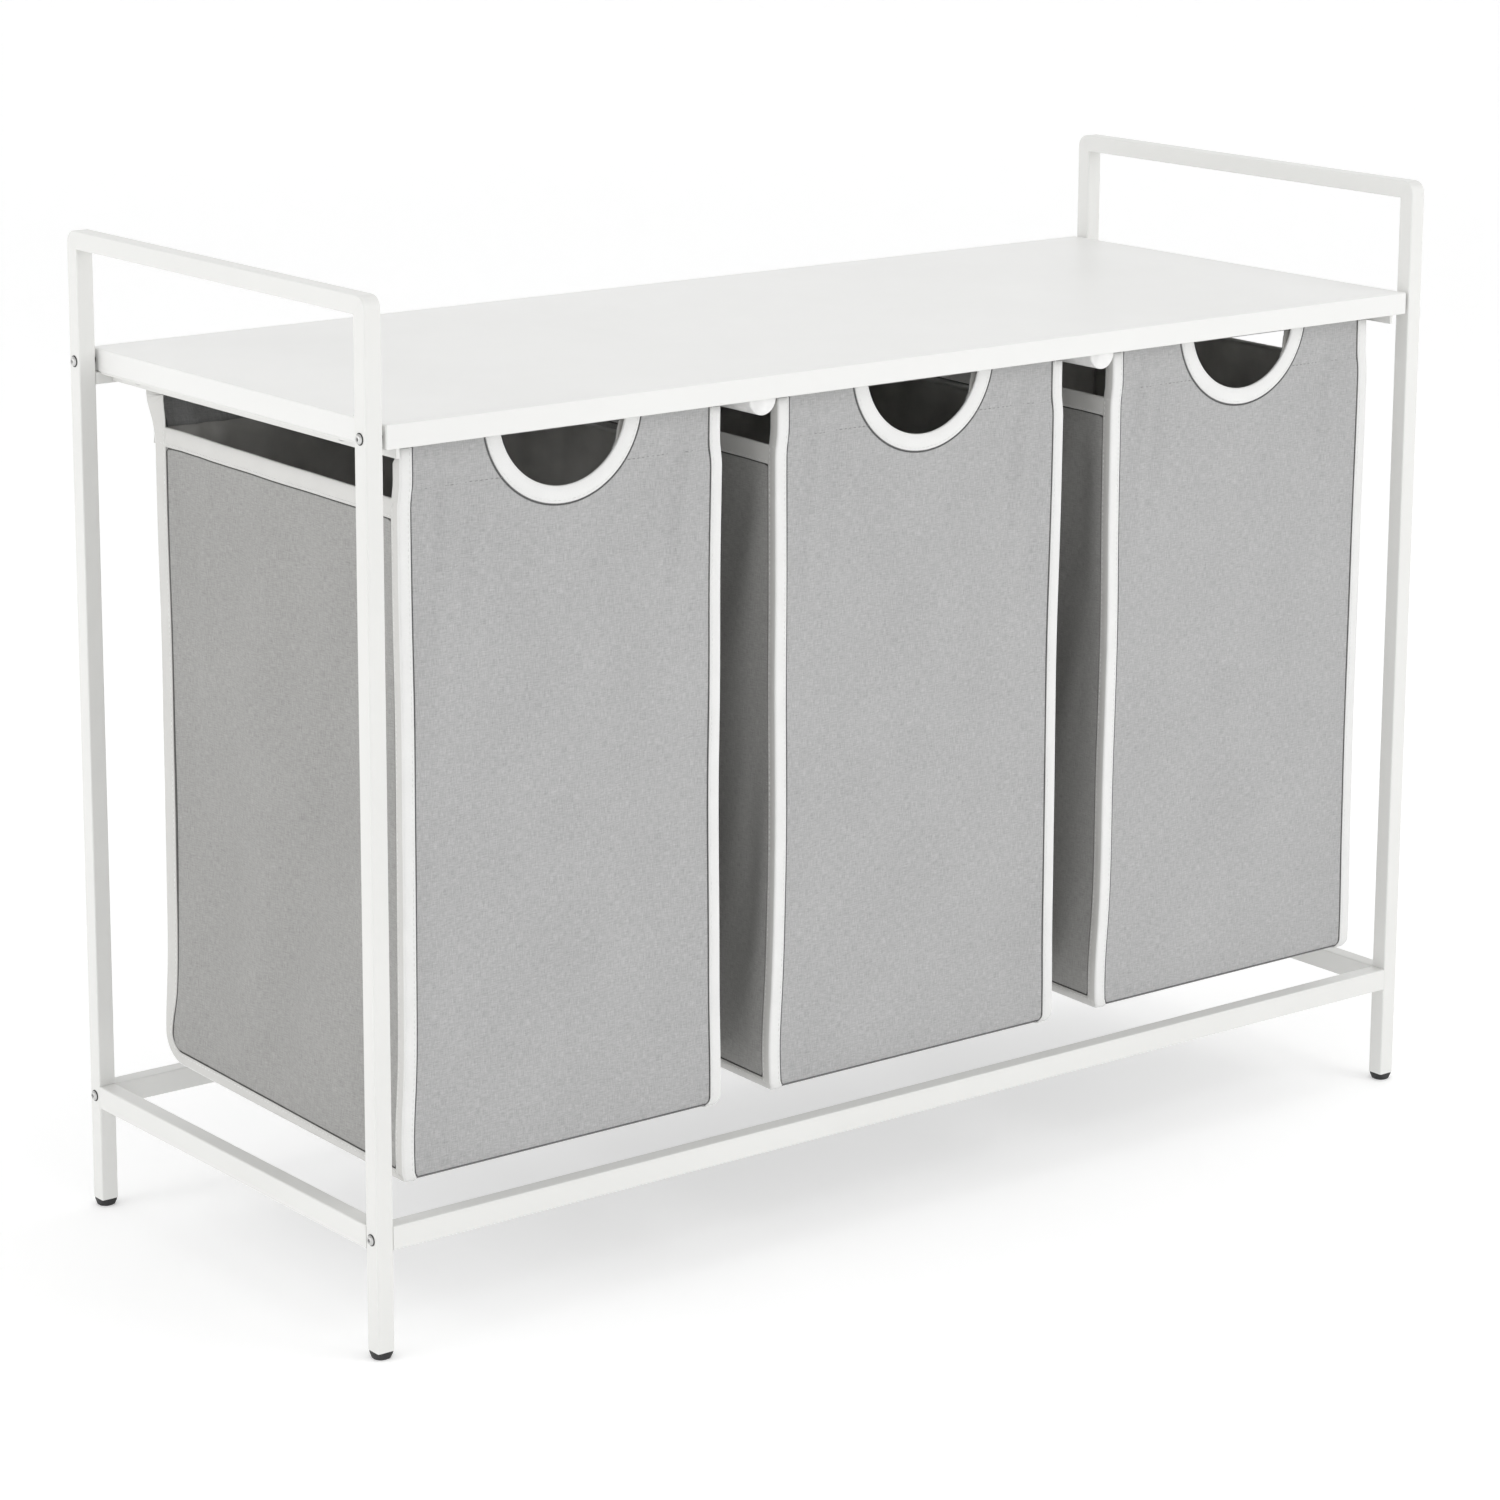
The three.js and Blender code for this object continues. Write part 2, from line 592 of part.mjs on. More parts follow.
[["left_bag", -BAY], ["middle_bag", 0], ["right_bag", BAY]].forEach(([name, x]) => {
  const made = bag(name);
  made.position.x = x;
  sorter.add(made);
});

export default sorter;
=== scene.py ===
"""Finishes for a laundry sorter: sewn bags on wire frames, a powder-coated tube frame and a shelf."""

import math

import bmesh
import bpy
import numpy as np
from bpy.props import FloatProperty, FloatVectorProperty, PointerProperty
from bpy.types import Operator, Panel, PropertyGroup
from mathutils import Matrix, Vector, noise


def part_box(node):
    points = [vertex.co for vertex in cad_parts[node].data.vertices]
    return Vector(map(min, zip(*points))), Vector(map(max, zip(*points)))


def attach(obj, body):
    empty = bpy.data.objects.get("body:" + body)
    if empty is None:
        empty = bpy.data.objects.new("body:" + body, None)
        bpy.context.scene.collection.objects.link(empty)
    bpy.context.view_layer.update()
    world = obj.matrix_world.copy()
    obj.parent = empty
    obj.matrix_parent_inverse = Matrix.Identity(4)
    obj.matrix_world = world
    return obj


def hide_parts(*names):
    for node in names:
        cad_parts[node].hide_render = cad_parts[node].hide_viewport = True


bl_info = {
    "name": "Laundry Sorter",
    "version": (1, 0, 0),
    "blender": (4, 5, 0),
    "location": "3D View > Sidebar > Sorter",
    "description": "Sews the bags and finishes the frame of a pull-out laundry sorter",
    "category": "Object",
}

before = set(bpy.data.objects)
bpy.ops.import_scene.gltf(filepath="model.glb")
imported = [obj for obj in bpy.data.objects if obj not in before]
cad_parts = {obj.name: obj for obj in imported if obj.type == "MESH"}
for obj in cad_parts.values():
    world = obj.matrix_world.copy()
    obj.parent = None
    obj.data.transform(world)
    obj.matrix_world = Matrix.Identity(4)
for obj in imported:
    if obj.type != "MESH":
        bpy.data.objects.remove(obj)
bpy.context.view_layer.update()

BAGS = ("left_bag", "middle_bag", "right_bag")
SIDE_WORDS = {-1: "left", 1: "right"}
MM = 0.001
WEAVE = 0.62 * MM  # from one thread of the cloth to the next
LAYER_GAP = 1.9 * MM  # from a sleeve's outer face in to its inner layer
SLEEVE_HEM = 4 * MM  # how far the inner layer reaches below the line that closes the sleeve
CAMERA_PLACE = (-1.9254, -2.4382, 1.1105)
CAMERA_TURN = (37.988, 12.408, 0.267)  # degrees to the right, downwards and about its own axis


# ---------------------------------------------------------------- settings


def size_setting(name, description, millimetres):
    """A setting for a size."""
    return FloatProperty(name=name, description=description, default=millimetres * MM, unit="LENGTH")


def colour_setting(name, description, default):
    """A setting for a colour."""
    return FloatVectorProperty(name=name, description=description, default=default, subtype="COLOR")


class ClothSettings(PropertyGroup):
    """Sizes and colours of the sewn bags."""

    thickness: size_setting("Cloth thickness", "Thickness of the woven cloth", 0.9)
    grid: size_setting("Cloth grid", "Size of one square of the cloth's mesh", 5.0)
    front_corner: size_setting("Front corner", "Radius where the front panel turns under the bag", 6.0)
    back_corner: size_setting("Back corner", "Radius where the bottom turns up into the back panel", 20.0)
    bottom_rise: size_setting(
        "Bottom rise", "How much higher the bottom hangs at the back than at the front", 8.0
    )
    side_sag: size_setting("Side sag", "How far the middle of a side panel hangs inwards", 5.0)
    sleeve_height: size_setting(
        "Sleeve height", "From the top of the bag down to the line that closes the wire's sleeve", 31.0
    )
    tape_width: size_setting("Tape width", "Width of the binding tape on the front and back panels", 8.2)
    side_tape_width: size_setting("Side tape width", "Width of the binding tape on the side panels", 8.0)
    hem_width: size_setting("Hem width", "Width of the tape along the top of a side panel", 11.6)
    hole_tape_width: size_setting("Hand hole tape width", "Width of the tape round the hand hole", 11.2)
    tape_thickness: size_setting("Tape thickness", "Thickness of the binding tape", 0.8)
    stitch_length: size_setting("Stitch length", "Length of one stitch", 2.7)
    stitch_pitch: size_setting("Stitch pitch", "From one stitch to the next", 3.8)
    thread_radius: size_setting("Thread radius", "Radius of the sewing thread", 0.28)
    cloth_colour: colour_setting("Cloth colour", "Colour of the woven cloth", (0.45, 0.45, 0.45))
    # Painted shade: the side cloth colour is a darker copy of the cloth colour, standing in for the shade on
    # the bag's side panels.
    shaded_side_colour: colour_setting(
        "Side cloth colour", "Colour of the cloth on a bag's two sides", (0.375, 0.372, 0.362)
    )
    # Partly painted light: the coated lining is real, but its colour is set lighter than the outer cloth to
    # stand in for the light reaching the inside of the bags and the hand holes.
    brightened_lining_colour: colour_setting(
        "Lining colour", "Colour of the coated inner side of the cloth", (0.62, 0.61, 0.585)
    )
    tape_colour: colour_setting("Tape colour", "Colour of the binding tape", (0.84, 0.84, 0.83))
    # Painted shade: the side tape colour is a darker copy of the tape colour, standing in for the shade on
    # the tape where it lies on the bag's sides.
    shaded_side_tape_colour: colour_setting(
        "Side tape colour", "Colour of the binding tape on a bag's two sides", (0.68, 0.675, 0.655)
    )


class FrameSettings(PropertyGroup):
    """Colours of the frame and its fittings."""

    coat_colour: colour_setting("Coat colour", "Colour of the powder coat on the tubes", (0.79, 0.79, 0.77))
    board_colour: colour_setting("Board colour", "Colour of the shelf board's laminate", (0.83, 0.83, 0.815))
    steel_colour: colour_setting(
        "Steel colour", "Colour of the plated bolts, screws and wires", (0.66, 0.66, 0.65)
    )
    plastic_colour: colour_setting("Foot colour", "Colour of the feet", (0.018, 0.018, 0.018))


class StageSettings(PropertyGroup):
    """Floor, lights and camera."""

    floor_colour: colour_setting("Floor colour", "Colour of the floor and the backdrop", (0.93, 0.93, 0.93))
    sky: FloatProperty(name="Sky", description="Brightness of the light from all round", default=0.55)
    key: FloatProperty(
        name="Key light", description="Power of the large front light", default=19.6, unit="POWER"
    )
    lens: FloatProperty(name="Lens", description="Focal length", default=106.89, unit="CAMERA")


# ---------------------------------------------------------------- meshes


def piece(name, points, faces, materials=(), uv=None, seam=None):
    """A linked object from points and faces, with a UV place and a seam distance for each point."""
    mesh = bpy.data.meshes.new(name)
    mesh.from_pydata([tuple(p) for p in points], [], [tuple(f) for f in faces])
    if uv is not None:
        layer = mesh.uv_layers.new(name="UVMap")
        corner = np.empty(len(mesh.loops), np.int32)
        mesh.loops.foreach_get("vertex_index", corner)
        layer.data.foreach_set("uv", np.asarray(uv, np.float32)[corner].ravel())
    if seam is not None:
        layer = mesh.attributes.new("seam", "FLOAT", "POINT")
        layer.data.foreach_set("value", np.asarray(seam, np.float32).ravel())
    mesh.polygons.foreach_set("use_smooth", [True] * len(mesh.polygons))
    for made in materials:
        mesh.materials.append(made)
    mesh.update()
    made = bpy.data.objects.new(name, mesh)
    bpy.context.scene.collection.objects.link(made)
    return made


def grid_faces(rows, columns, flip=False, keep=None):
    """The quads of a grid of rows by columns of points."""
    found = []
    for i in range(rows - 1):
        for j in range(columns - 1):
            a = i * columns + j
            quad = (a, a + 1, a + columns + 1, a + columns)
            if keep is None or keep[i, j]:
                found.append(quad[::-1] if flip else quad)
    return found


def sweep(name, rings, materials, uv=None, seam=None):
    """A closed solid through equal rings of points, with both ends capped."""
    rings = np.asarray(rings)
    count, around = rings.shape[:2]
    faces = []
    for i in range(count - 1):
        for j in range(around):
            k = (j + 1) % around
            a, b = i * around, (i + 1) * around
            faces.append((a + j, a + k, b + k, b + j))
    faces.append(tuple(range(around))[::-1])
    faces.append(tuple((count - 1) * around + j for j in range(around)))
    flat = None if uv is None else np.asarray(uv).reshape(-1, 2)
    made = piece(name, rings.reshape(-1, 3), faces, materials, flat, seam)
    bm = bmesh.new()
    bm.from_mesh(made.data)
    bmesh.ops.recalc_face_normals(bm, faces=bm.faces)
    bm.to_mesh(made.data)
    bm.free()
    return made


def ease(value, low, high):
    """0 below low, 1 above high, and smooth in between."""
    t = min(1.0, max(0.0, (value - low) / (high - low)))
    return t * t * (3 - 2 * t)


# ---------------------------------------------------------------- finishes


class Finish:
    """A node material under construction."""

    def __init__(self, name, colour, roughness, metallic=0.0):
        self.made = bpy.data.materials.new(name)
        self.made.use_nodes = True
        self.made.diffuse_color = (*colour, 1)
        self.tree = self.made.node_tree
        self.shader = self.tree.nodes["Principled BSDF"]
        self.shader.inputs["Base Color"].default_value = (*colour, 1)
        self.shader.inputs["Roughness"].default_value = roughness
        self.shader.inputs["Metallic"].default_value = metallic
        self.colour = colour

    def node(self, kind, values=(), **settings):
        """A node of a kind, with its settings and the values of its inputs."""
        made = self.tree.nodes.new(kind)
        for key, value in settings.items():
            setattr(made, key, value)
        for key, value in dict(values).items():
            made.inputs[key].default_value = value
        return made

    def link(self, output, target):
        """Joins an output to an input."""
        self.tree.links.new(output, target)

    def place(self, source="Object", scale=(1, 1, 1), turn=0.0):
        """A coordinate from the piece's own space or its UV map, scaled and turned."""
        coordinate = self.node("ShaderNodeTexCoord")
        mapping = self.node("ShaderNodeMapping", {"Scale": scale, "Rotation": (0, 0, turn)})
        self.link(coordinate.outputs[source], mapping.inputs["Vector"])
        return mapping.outputs["Vector"]

    def grain(self, where, scale, detail=2.0, roughness=0.5):
        """Noise from 0 to 1, as fibres, clouds or the peel of a coat."""
        made = self.node(
            "ShaderNodeTexNoise", {"Scale": scale, "Detail": detail, "Roughness": roughness}
        )
        self.link(where, made.inputs["Vector"])
        return made.outputs["Fac"]

    def threads(self, where, direction, pitch, wander=0.0):
        """Even bands across a direction, one pitch apart."""
        made = self.node(
            "ShaderNodeTexWave",
            {"Scale": math.pi / 10 / pitch, "Distortion": wander, "Detail": 1.0},
            bands_direction=direction,
        )
        self.link(where, made.inputs["Vector"])
        return made.outputs["Fac"]

    def sum(self, kind, a, b=None, share=None):
        """A sum of numbers or outputs of the given kind."""
        made = self.node("ShaderNodeMath", operation=kind)
        for socket, value in zip(made.inputs, (a, b, share)):
            if value is not None and not isinstance(value, (int, float)):
                self.link(value, socket)
            elif value is not None:
                socket.default_value = value
        return made.outputs["Value"]

    def shade(self, factor, dark, light, low=0.3, high=0.7):
        """Colours the piece between dark and light, as shares of its own colour."""
        ramp = self.node("ShaderNodeValToRGB")
        ends = ramp.color_ramp.elements
        ends[0].position, ends[1].position = low, high
        ends[0].color = (*[c * dark for c in self.colour], 1)
        ends[1].color = (*[min(1, c * light) for c in self.colour], 1)
        self.link(factor, ramp.inputs["Fac"])
        self.link(ramp.outputs["Color"], self.shader.inputs["Base Color"])

    def shadow_and_groove_line(self, middle, inner, outer):
        """1 on a line at the given distance from a seam, fading to 0 at the outer half width: the cloth's
        painted shadow line and groove.
        """
        seam = self.node("ShaderNodeAttribute", attribute_name="seam")
        away = self.sum("ABSOLUTE", self.sum("SUBTRACT", seam.outputs["Fac"], middle))
        fade = self.node(
            "ShaderNodeMapRange", {"From Min": inner, "From Max": outer, "To Min": 1, "To Max": 0}
        )
        self.link(away, fade.inputs["Value"])
        return fade.outputs["Result"]

    def darken(self, factor, share):
        """Takes the base colour down to a share of itself where the factor is 1."""
        socket = self.shader.inputs["Base Color"]
        mix = self.node("ShaderNodeMix", data_type="RGBA", blend_type="MULTIPLY")
        mix.inputs["B"].default_value = (share, share, share, 1)
        self.link(factor, mix.inputs["Factor"])
        self.link(socket.links[0].from_socket, mix.inputs["A"])
        self.link(mix.outputs["Result"], socket)

    def relief(self, height, distance, strength=1.0):
        """Raises the surface by a height from 0 to 1 times the distance."""
        bump = self.node("ShaderNodeBump", {"Strength": strength, "Distance": distance})
        self.link(height, bump.inputs["Height"])
        self.link(bump.outputs["Normal"], self.shader.inputs["Normal"])

    def rough(self, factor, low, high):
        """Varies the roughness between two values."""
        reach = self.node("ShaderNodeMapRange", {"To Min": low, "To Max": high})
        self.link(factor, reach.inputs["Value"])
        self.link(reach.outputs["Result"], self.shader.inputs["Roughness"])


def woven_cloth(name, colour, sheen):
    """Plain-woven polyester: two sets of slightly uneven threads, with slubs along both."""
    made = Finish(name, colour, 0.92)
    made.shader.inputs["Sheen Weight"].default_value = sheen
    made.shader.inputs["Sheen Roughness"].default_value = 0.5
    made.shader.inputs["Specular IOR Level"].default_value = 0.2
    plain = made.place("UV")
    across = made.grain(made.place("UV", (1, 11, 1)), 150, 3, 0.7)
    along = made.grain(made.place("UV", (11, 1, 1)), 150, 3, 0.7)
    cloud = made.grain(plain, 14, 2, 0.5)
    warp = made.threads(plain, "X", WEAVE, 0.4)
    weft = made.threads(plain, "Y", WEAVE, 0.4)
    weave = made.sum("MULTIPLY", warp, weft)
    slub = made.sum("ADD", across, along)
    tone = made.sum("MULTIPLY_ADD", slub, 0.47, made.sum("MULTIPLY", cloud, 0.06))
    made.shade(tone, 0.78, 1.2, 0.38, 0.62)
    # Painted shadow: a thin line just outside each tape's edge, round the hand hole's tape and along the
    # fold under the front is darkened to a fifth of the cloth colour; the same line is also pressed in as a
    # groove.
    shadow_and_groove_line = made.shadow_and_groove_line(0.45 * MM, 0.25 * MM, 0.95 * MM)
    made.darken(shadow_and_groove_line, 0.2)
    height = made.sum("MULTIPLY_ADD", weave, 0.6, slub)
    made.relief(made.sum("MULTIPLY_ADD", shadow_and_groove_line, -4.0, height), 0.16 * MM, 0.8)
    return made.made


def coated_cloth(name, colour):
    """The inner side of the cloth, with a thin smooth coating over the weave."""
    made = Finish(name, colour, 0.6)
    plain = made.place("UV")
    weave = made.sum("MULTIPLY", made.threads(plain, "X", WEAVE), made.threads(plain, "Y", WEAVE))
    blotch = made.grain(plain, 30, 3)
    made.shade(blotch, 0.85, 1.15)
    made.relief(weave, 0.08 * MM, 0.6)
    return made.made


def ribbed_tape(name, colour):
    """Binding tape: fine cross ribs with a selvedge, slightly fuzzy."""
    made = Finish(name, colour, 0.85)
    made.shader.inputs["Sheen Weight"].default_value = 0.08
    plain = made.place("UV")
    ribs = made.threads(plain, "Y", 0.55 * MM, 0.3)
    fibre = made.grain(made.place("UV", (1, 4, 1)), 500, 3, 0.6)
    soft = made.grain(plain, 40, 2)
    made.shade(made.sum("MULTIPLY_ADD", fibre, 0.5, made.sum("MULTIPLY", soft, 0.5)), 0.95, 1.03)
    made.relief(made.sum("MULTIPLY_ADD", ribs, 0.7, fibre), 0.12 * MM, 0.7)
    return made.made


def powder_coat(name, colour, roughness=0.42):
    """Baked powder coat with its faint orange peel."""
    made = Finish(name, colour, roughness)
    made.shader.inputs["Coat Weight"].default_value = 0.12
    made.shader.inputs["Coat Roughness"].default_value = 0.25
    plain = made.place("Object")
    peel = made.grain(plain, 620, 2, 0.4)
    cloud = made.grain(plain, 9, 2)
    made.shade(cloud, 0.985, 1.01)
    made.rough(made.grain(plain, 60, 3), roughness - 0.05, roughness + 0.06)
    made.relief(peel, 0.12 * MM, 0.35)
    return made.made


def laminate(name, colour):
    """Melamine laminate with a very fine pearl texture, a little glossier than the frame."""
    made = Finish(name, colour, 0.36)
    plain = made.place("Object")
    pearl = made.grain(plain, 900, 2, 0.5)
    made.shade(made.grain(plain, 6, 2), 0.99, 1.01)
    made.rough(made.grain(plain, 45, 3), 0.3, 0.42)
    made.relief(pearl, 0.05 * MM, 0.35)
    return made.made


def plated_steel(name, colour):
    """Zinc-plated steel, faintly brushed and cloudy."""
    made = Finish(name, colour, 0.34, 1.0)
    plain = made.place("Object")
    made.shade(made.grain(plain, 120, 3), 0.85, 1.12)
    # Painted shade: where the seam attribute is 1 (a bolt's shank, seat rings and socket) the colour is
    # taken down to a tenth, standing in for the shade round the head and in the socket.
    made.darken(made.node("ShaderNodeAttribute", attribute_name="seam").outputs["Fac"], 0.1)
    made.rough(made.grain(plain, 300, 2), 0.26, 0.45)
    made.relief(made.grain(made.place("Object", (1, 1, 8)), 300, 2), 0.03 * MM, 0.4)
    return made.made


def moulded_plastic(name, colour, roughness=0.5):
    """Moulded plastic with a fine spark-eroded grain."""
    made = Finish(name, colour, roughness)
    plain = made.place("Object")
    made.shade(made.grain(plain, 80, 2), 0.9, 1.1)
    made.rough(made.grain(plain, 200, 2), roughness - 0.08, roughness + 0.08)
    made.relief(made.grain(plain, 1500, 2, 0.6), 0.06 * MM, 0.5)
    return made.made


def felt_board(name, colour):
    """The stiffener in the bottom of a bag: board covered in matted fibre."""
    made = Finish(name, colour, 0.95)
    made.shader.inputs["Sheen Weight"].default_value = 0.2
    plain = made.place("Object")
    fibre = made.grain(plain, 500, 4, 0.7)
    made.shade(fibre, 0.75, 1.25)
    made.relief(fibre, 0.3 * MM, 0.6)
    return made.made


def dress(node, material):
    """Gives a carried node one material all over."""
    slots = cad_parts[node].material_slots
    for slot in slots:
        slot.link = "OBJECT"
        slot.material = material


# ---------------------------------------------------------------- a bag's shape


class BagShape:
    """Where a bag's cloth hangs, worked out from its panels and its wire."""

    def __init__(self, bag, settings):
        front_low, front_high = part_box(f"{bag}_front_panel")
        back_low, back_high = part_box(f"{bag}_back_panel")
        side_low, side_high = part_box(f"{bag}_left_panel")
        wire_low, wire_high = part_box(f"{bag}_wire_frame")
        self.bag = bag
        self.seed = 7.3 * BAGS.index(bag) + 1.7
        self.settings = settings
        self.middle = (front_low.x + front_high.x) / 2
        self.half = (front_high.x - front_low.x) / 2
        self.front = front_low.y
        self.bottom = front_low.z
        self.top = front_high.z + 0.6 * MM
        self.back = side_high.y + 1.6 * MM
        self.back_top = back_high.y
        self.side_top = side_high.z
        self.wire_front = wire_low.y + 2 * MM
        self.wire_back = wire_high.y - 2 * MM
        self.wire_z = (wire_low.z + wire_high.z) / 2
        self.seam = self.top - settings.sleeve_height
        self.hole_centre = front_high.z + 9 * MM
        self.hole_radius = 50.8 * MM

    def floor(self, y):
        """Height of the bottom's edge at a depth."""
        share = (y - self.front) / (self.back - self.front)
        return self.bottom + self.settings.bottom_rise * share

    def back_line(self, z):
        """Depth of the back panel at a height: it leans out to the wire at the top."""
        lean = ease(z, self.seam - 14 * MM, self.seam + 18 * MM)
        return self.back + (self.back_top - self.back) * lean

    def front_at(self, above):
        """Depth of a side panel's front edge at a height above the bottom."""
        r = self.settings.front_corner
        return self.front + (r - math.sqrt(r * r - (r - above) ** 2) if above < r else 0)

    def back_at(self, above, z):
        """Depth of a side panel's back edge at a height above the bottom."""
        r = self.settings.back_corner
        curl = r - math.sqrt(r * r - (r - above) ** 2) if above < r else 0
        return self.back_line(z) - curl

    def half_width(self, z, side):
        """Half the bag's width at a height: drawn in at the waist and in the sleeve."""
        rise = min(1.0, max(0.0, (z - self.bottom) / (self.seam - self.bottom)))
        waist = 1.6 * MM * math.sin(math.pi * rise) ** 1.5
        sleeve = 1.8 * MM * ease(z, self.seam - 12 * MM, self.seam + 6 * MM)
        wave = noise.noise(Vector((z * 9, side * 3.1, self.seed))) * 1.1 * MM
        hips = 2.2 * MM * math.exp(-(((z - self.bottom - 28 * MM) / (38 * MM)) ** 2))
        pinch = 3.2 * MM * (1 - ease(z, self.bottom - 1 * MM, self.bottom + 7 * MM))
        return self.half - waist - sleeve - pinch + wave + hips * (0.3 + 0.7 * (side < 0))

    def outline(self, step):
        """The side seam from the front's top round the bottom to the back's top, as (y, z)."""
        s = self.settings
        points = []
        for z in np.linspace(self.top - 4 * MM, self.floor(self.front) + s.front_corner, 90):
            points.append((self.front, z))
        for a in np.linspace(0, math.pi / 2, 7)[1:]:
            y = self.front + s.front_corner * (1 - math.cos(a))
            points.append((y, self.floor(y) + s.front_corner * (1 - math.sin(a))))
        first, last = self.front + s.front_corner, self.back - s.back_corner
        for y in np.linspace(first, last, 50)[1:]:
            points.append((y, self.floor(y)))
        for a in np.linspace(0, math.pi / 2, 13)[1:]:
            y = self.back - s.back_corner * (1 - math.sin(a))
            points.append((y, self.floor(y) + s.back_corner * (1 - math.cos(a))))
        for z in np.linspace(points[-1][1], self.top - 4 * MM, 90)[1:]:
            points.append((self.back_line(z), z))
        return spaced(points, step)

    def strip_line(self, step):
        """The whole length of the front, bottom and back cloth, with a sleeve at each end."""
        front = self.sleeve(self.wire_front, self.front, 1)
        back = self.sleeve(self.wire_back, self.back_top, -1)[::-1]
        inner = [min(y, self.back_line(z) - LAYER_GAP) if z < self.wire_z else y for y, z in back]
        back = [(y, z) for y, (_, z) in zip(inner, back)]
        middle = [tuple(p) for p in self.outline(2 * MM)]
        return spaced(front + middle + back, step)

    def sleeve(self, wire, outer, way):
        """Up the inside from the seam, over the wire and down to the outer face."""
        wide = abs(wire - outer)
        tall = self.top - self.wire_z
        inner = outer + way * LAYER_GAP
        low = self.seam - SLEEVE_HEM
        points = []
        for t in np.linspace(0, 1, 9)[:-1]:
            y = inner + (wire + way * wide - inner) * ease(t, 0.2, 1)
            points.append((y, low + (self.wire_z - low) * t))
        for a in np.linspace(0, math.pi, 13):
            points.append((wire + way * wide * math.cos(a), self.wire_z + tall * math.sin(a)))
        return points

    def in_seams(self, x, z, reach=24 * MM):
        """0 at the side seams and 1 well away from them."""
        edge = self.half_width(z, math.copysign(1, x)) - abs(x)
        return ease(edge, self.settings.tape_width * 0.7, reach)

    def swell(self, x, z, seed):
        """How far the front or back cloth stands out from its flat line."""
        level = ease(z, self.bottom, self.bottom + 30 * MM)
        level *= 1 - ease(z, self.seam + 2 * MM, self.wire_z - 4 * MM)
        broad = noise.noise(Vector((x * 7, z * 4, seed))) * 2.6 * MM
        folds = noise.noise(Vector((x * 22 + z * 3, z * 6, seed + 5))) * 2.6 * MM
        creases = noise.noise(Vector((x * 16 + z * 9, z * 14 - x * 8, seed + 9))) * 1.6 * MM
        pull = ease(z, self.seam - 190 * MM, self.seam - 10 * MM)
        near = math.exp(-(((abs(x) - 92 * MM) / (26 * MM)) ** 2))
        tucks = pull * near * math.sin(x * 270 - z * 26 + seed) * 1.7 * MM
        groove = -0.7 * MM * math.exp(-(((z - self.seam) / (2.4 * MM)) ** 2))
        moved = level * (broad + folds + creases + tucks)
        return self.in_seams(x, z) * moved + groove * self.in_seams(x, z, 12 * MM)

    def front_swell(self, x, z):
        """The front cloth's swell, which lies flat round the hand hole."""
        hole = math.hypot(x, z - self.hole_centre) - self.hole_radius
        return self.swell(x, z, self.seed) * ease(hole, 10 * MM, 55 * MM)

    def back_swell(self, x, z):
        """The back cloth's swell."""
        return self.swell(x, z, self.seed + 31)

    def side_bow(self, y, z, side):
        """How far a side panel hangs inwards from its seams."""
        t = (y - self.front) / (self.back_line(z) - self.front)
        t = min(1.0, max(0.0, t))
        rise = min(1.0, max(0.0, (z - self.floor(y)) / (self.side_top - self.floor(y))))
        across = math.sin(math.pi * t) ** 0.8
        up = ease(rise, 0.0, 0.35) * (1 - 0.35 * ease(rise, 0.6, 1.0))
        edge = ease(min(t, 1 - t) * (self.back - self.front), self.settings.side_tape_width * 0.8, 35 * MM)
        base = ease(z - self.floor(y), self.settings.side_tape_width * 0.8, 40 * MM)
        top = 1 - 0.93 * ease(rise, 0.84, 0.99)
        broad = noise.noise(Vector((y * 8, z * 5, self.seed + side * 3))) * 7.0 * MM
        lean = y * 21 + z * 5
        folds = noise.noise(Vector((lean, z * 4, self.seed + side * 4 + 2))) * 8.5 * MM
        near = math.exp(-((y - self.back + 45 * MM) / (34 * MM)) ** 2) * ease(rise, 0.45, 0.9)
        tucks = near * math.sin(y * 250 + z * 22 + self.seed) * 1.8 * MM
        return self.settings.side_sag * across * up * edge + (broad + folds + tucks) * edge * base * top

    def side_tape(self, y, z):
        """Width of the tape on a side panel, which is wider up the back."""
        up = ease(z, self.bottom + 26 * MM, self.bottom + 60 * MM)
        wider = ease(y, self.back - 40 * MM, self.back - 15 * MM) * up
        flare = self.back_line(z) - self.back
        return self.settings.side_tape_width + (5 * MM + 0.8 * flare) * wider

    def hem_line(self, y):
        """Height of a side panel's top edge, which hangs a little in the middle."""
        t = (y - self.front) / (self.back - self.front)
        return self.side_top - 2 * MM + 4 * MM * t - 1.2 * MM * math.sin(math.pi * min(1, max(0, t)))

    def side_cut(self):
        """The flat outline that a side panel is cut to, as (y, z): its seams and its top edge."""
        seams = [(y, z) for y, z in self.outline(2 * MM) if z < self.hem_line(y)]
        across = np.linspace(seams[-1][0], seams[0][0], 40)
        return np.array(seams + [(y, self.hem_line(y)) for y in across])

    def hole_area(self, low):
        """The flat area of the hand hole in one layer of cloth, from a height to the fold."""
        heights = np.linspace(max(low, self.hole_centre - self.hole_radius), self.top, 200)
        reach = self.hole_radius**2 - (heights - self.hole_centre) ** 2
        wide = 2 * np.sqrt(np.maximum(reach, 0))
        return float(((wide[1:] + wide[:-1]) / 2 * np.diff(heights)).sum())


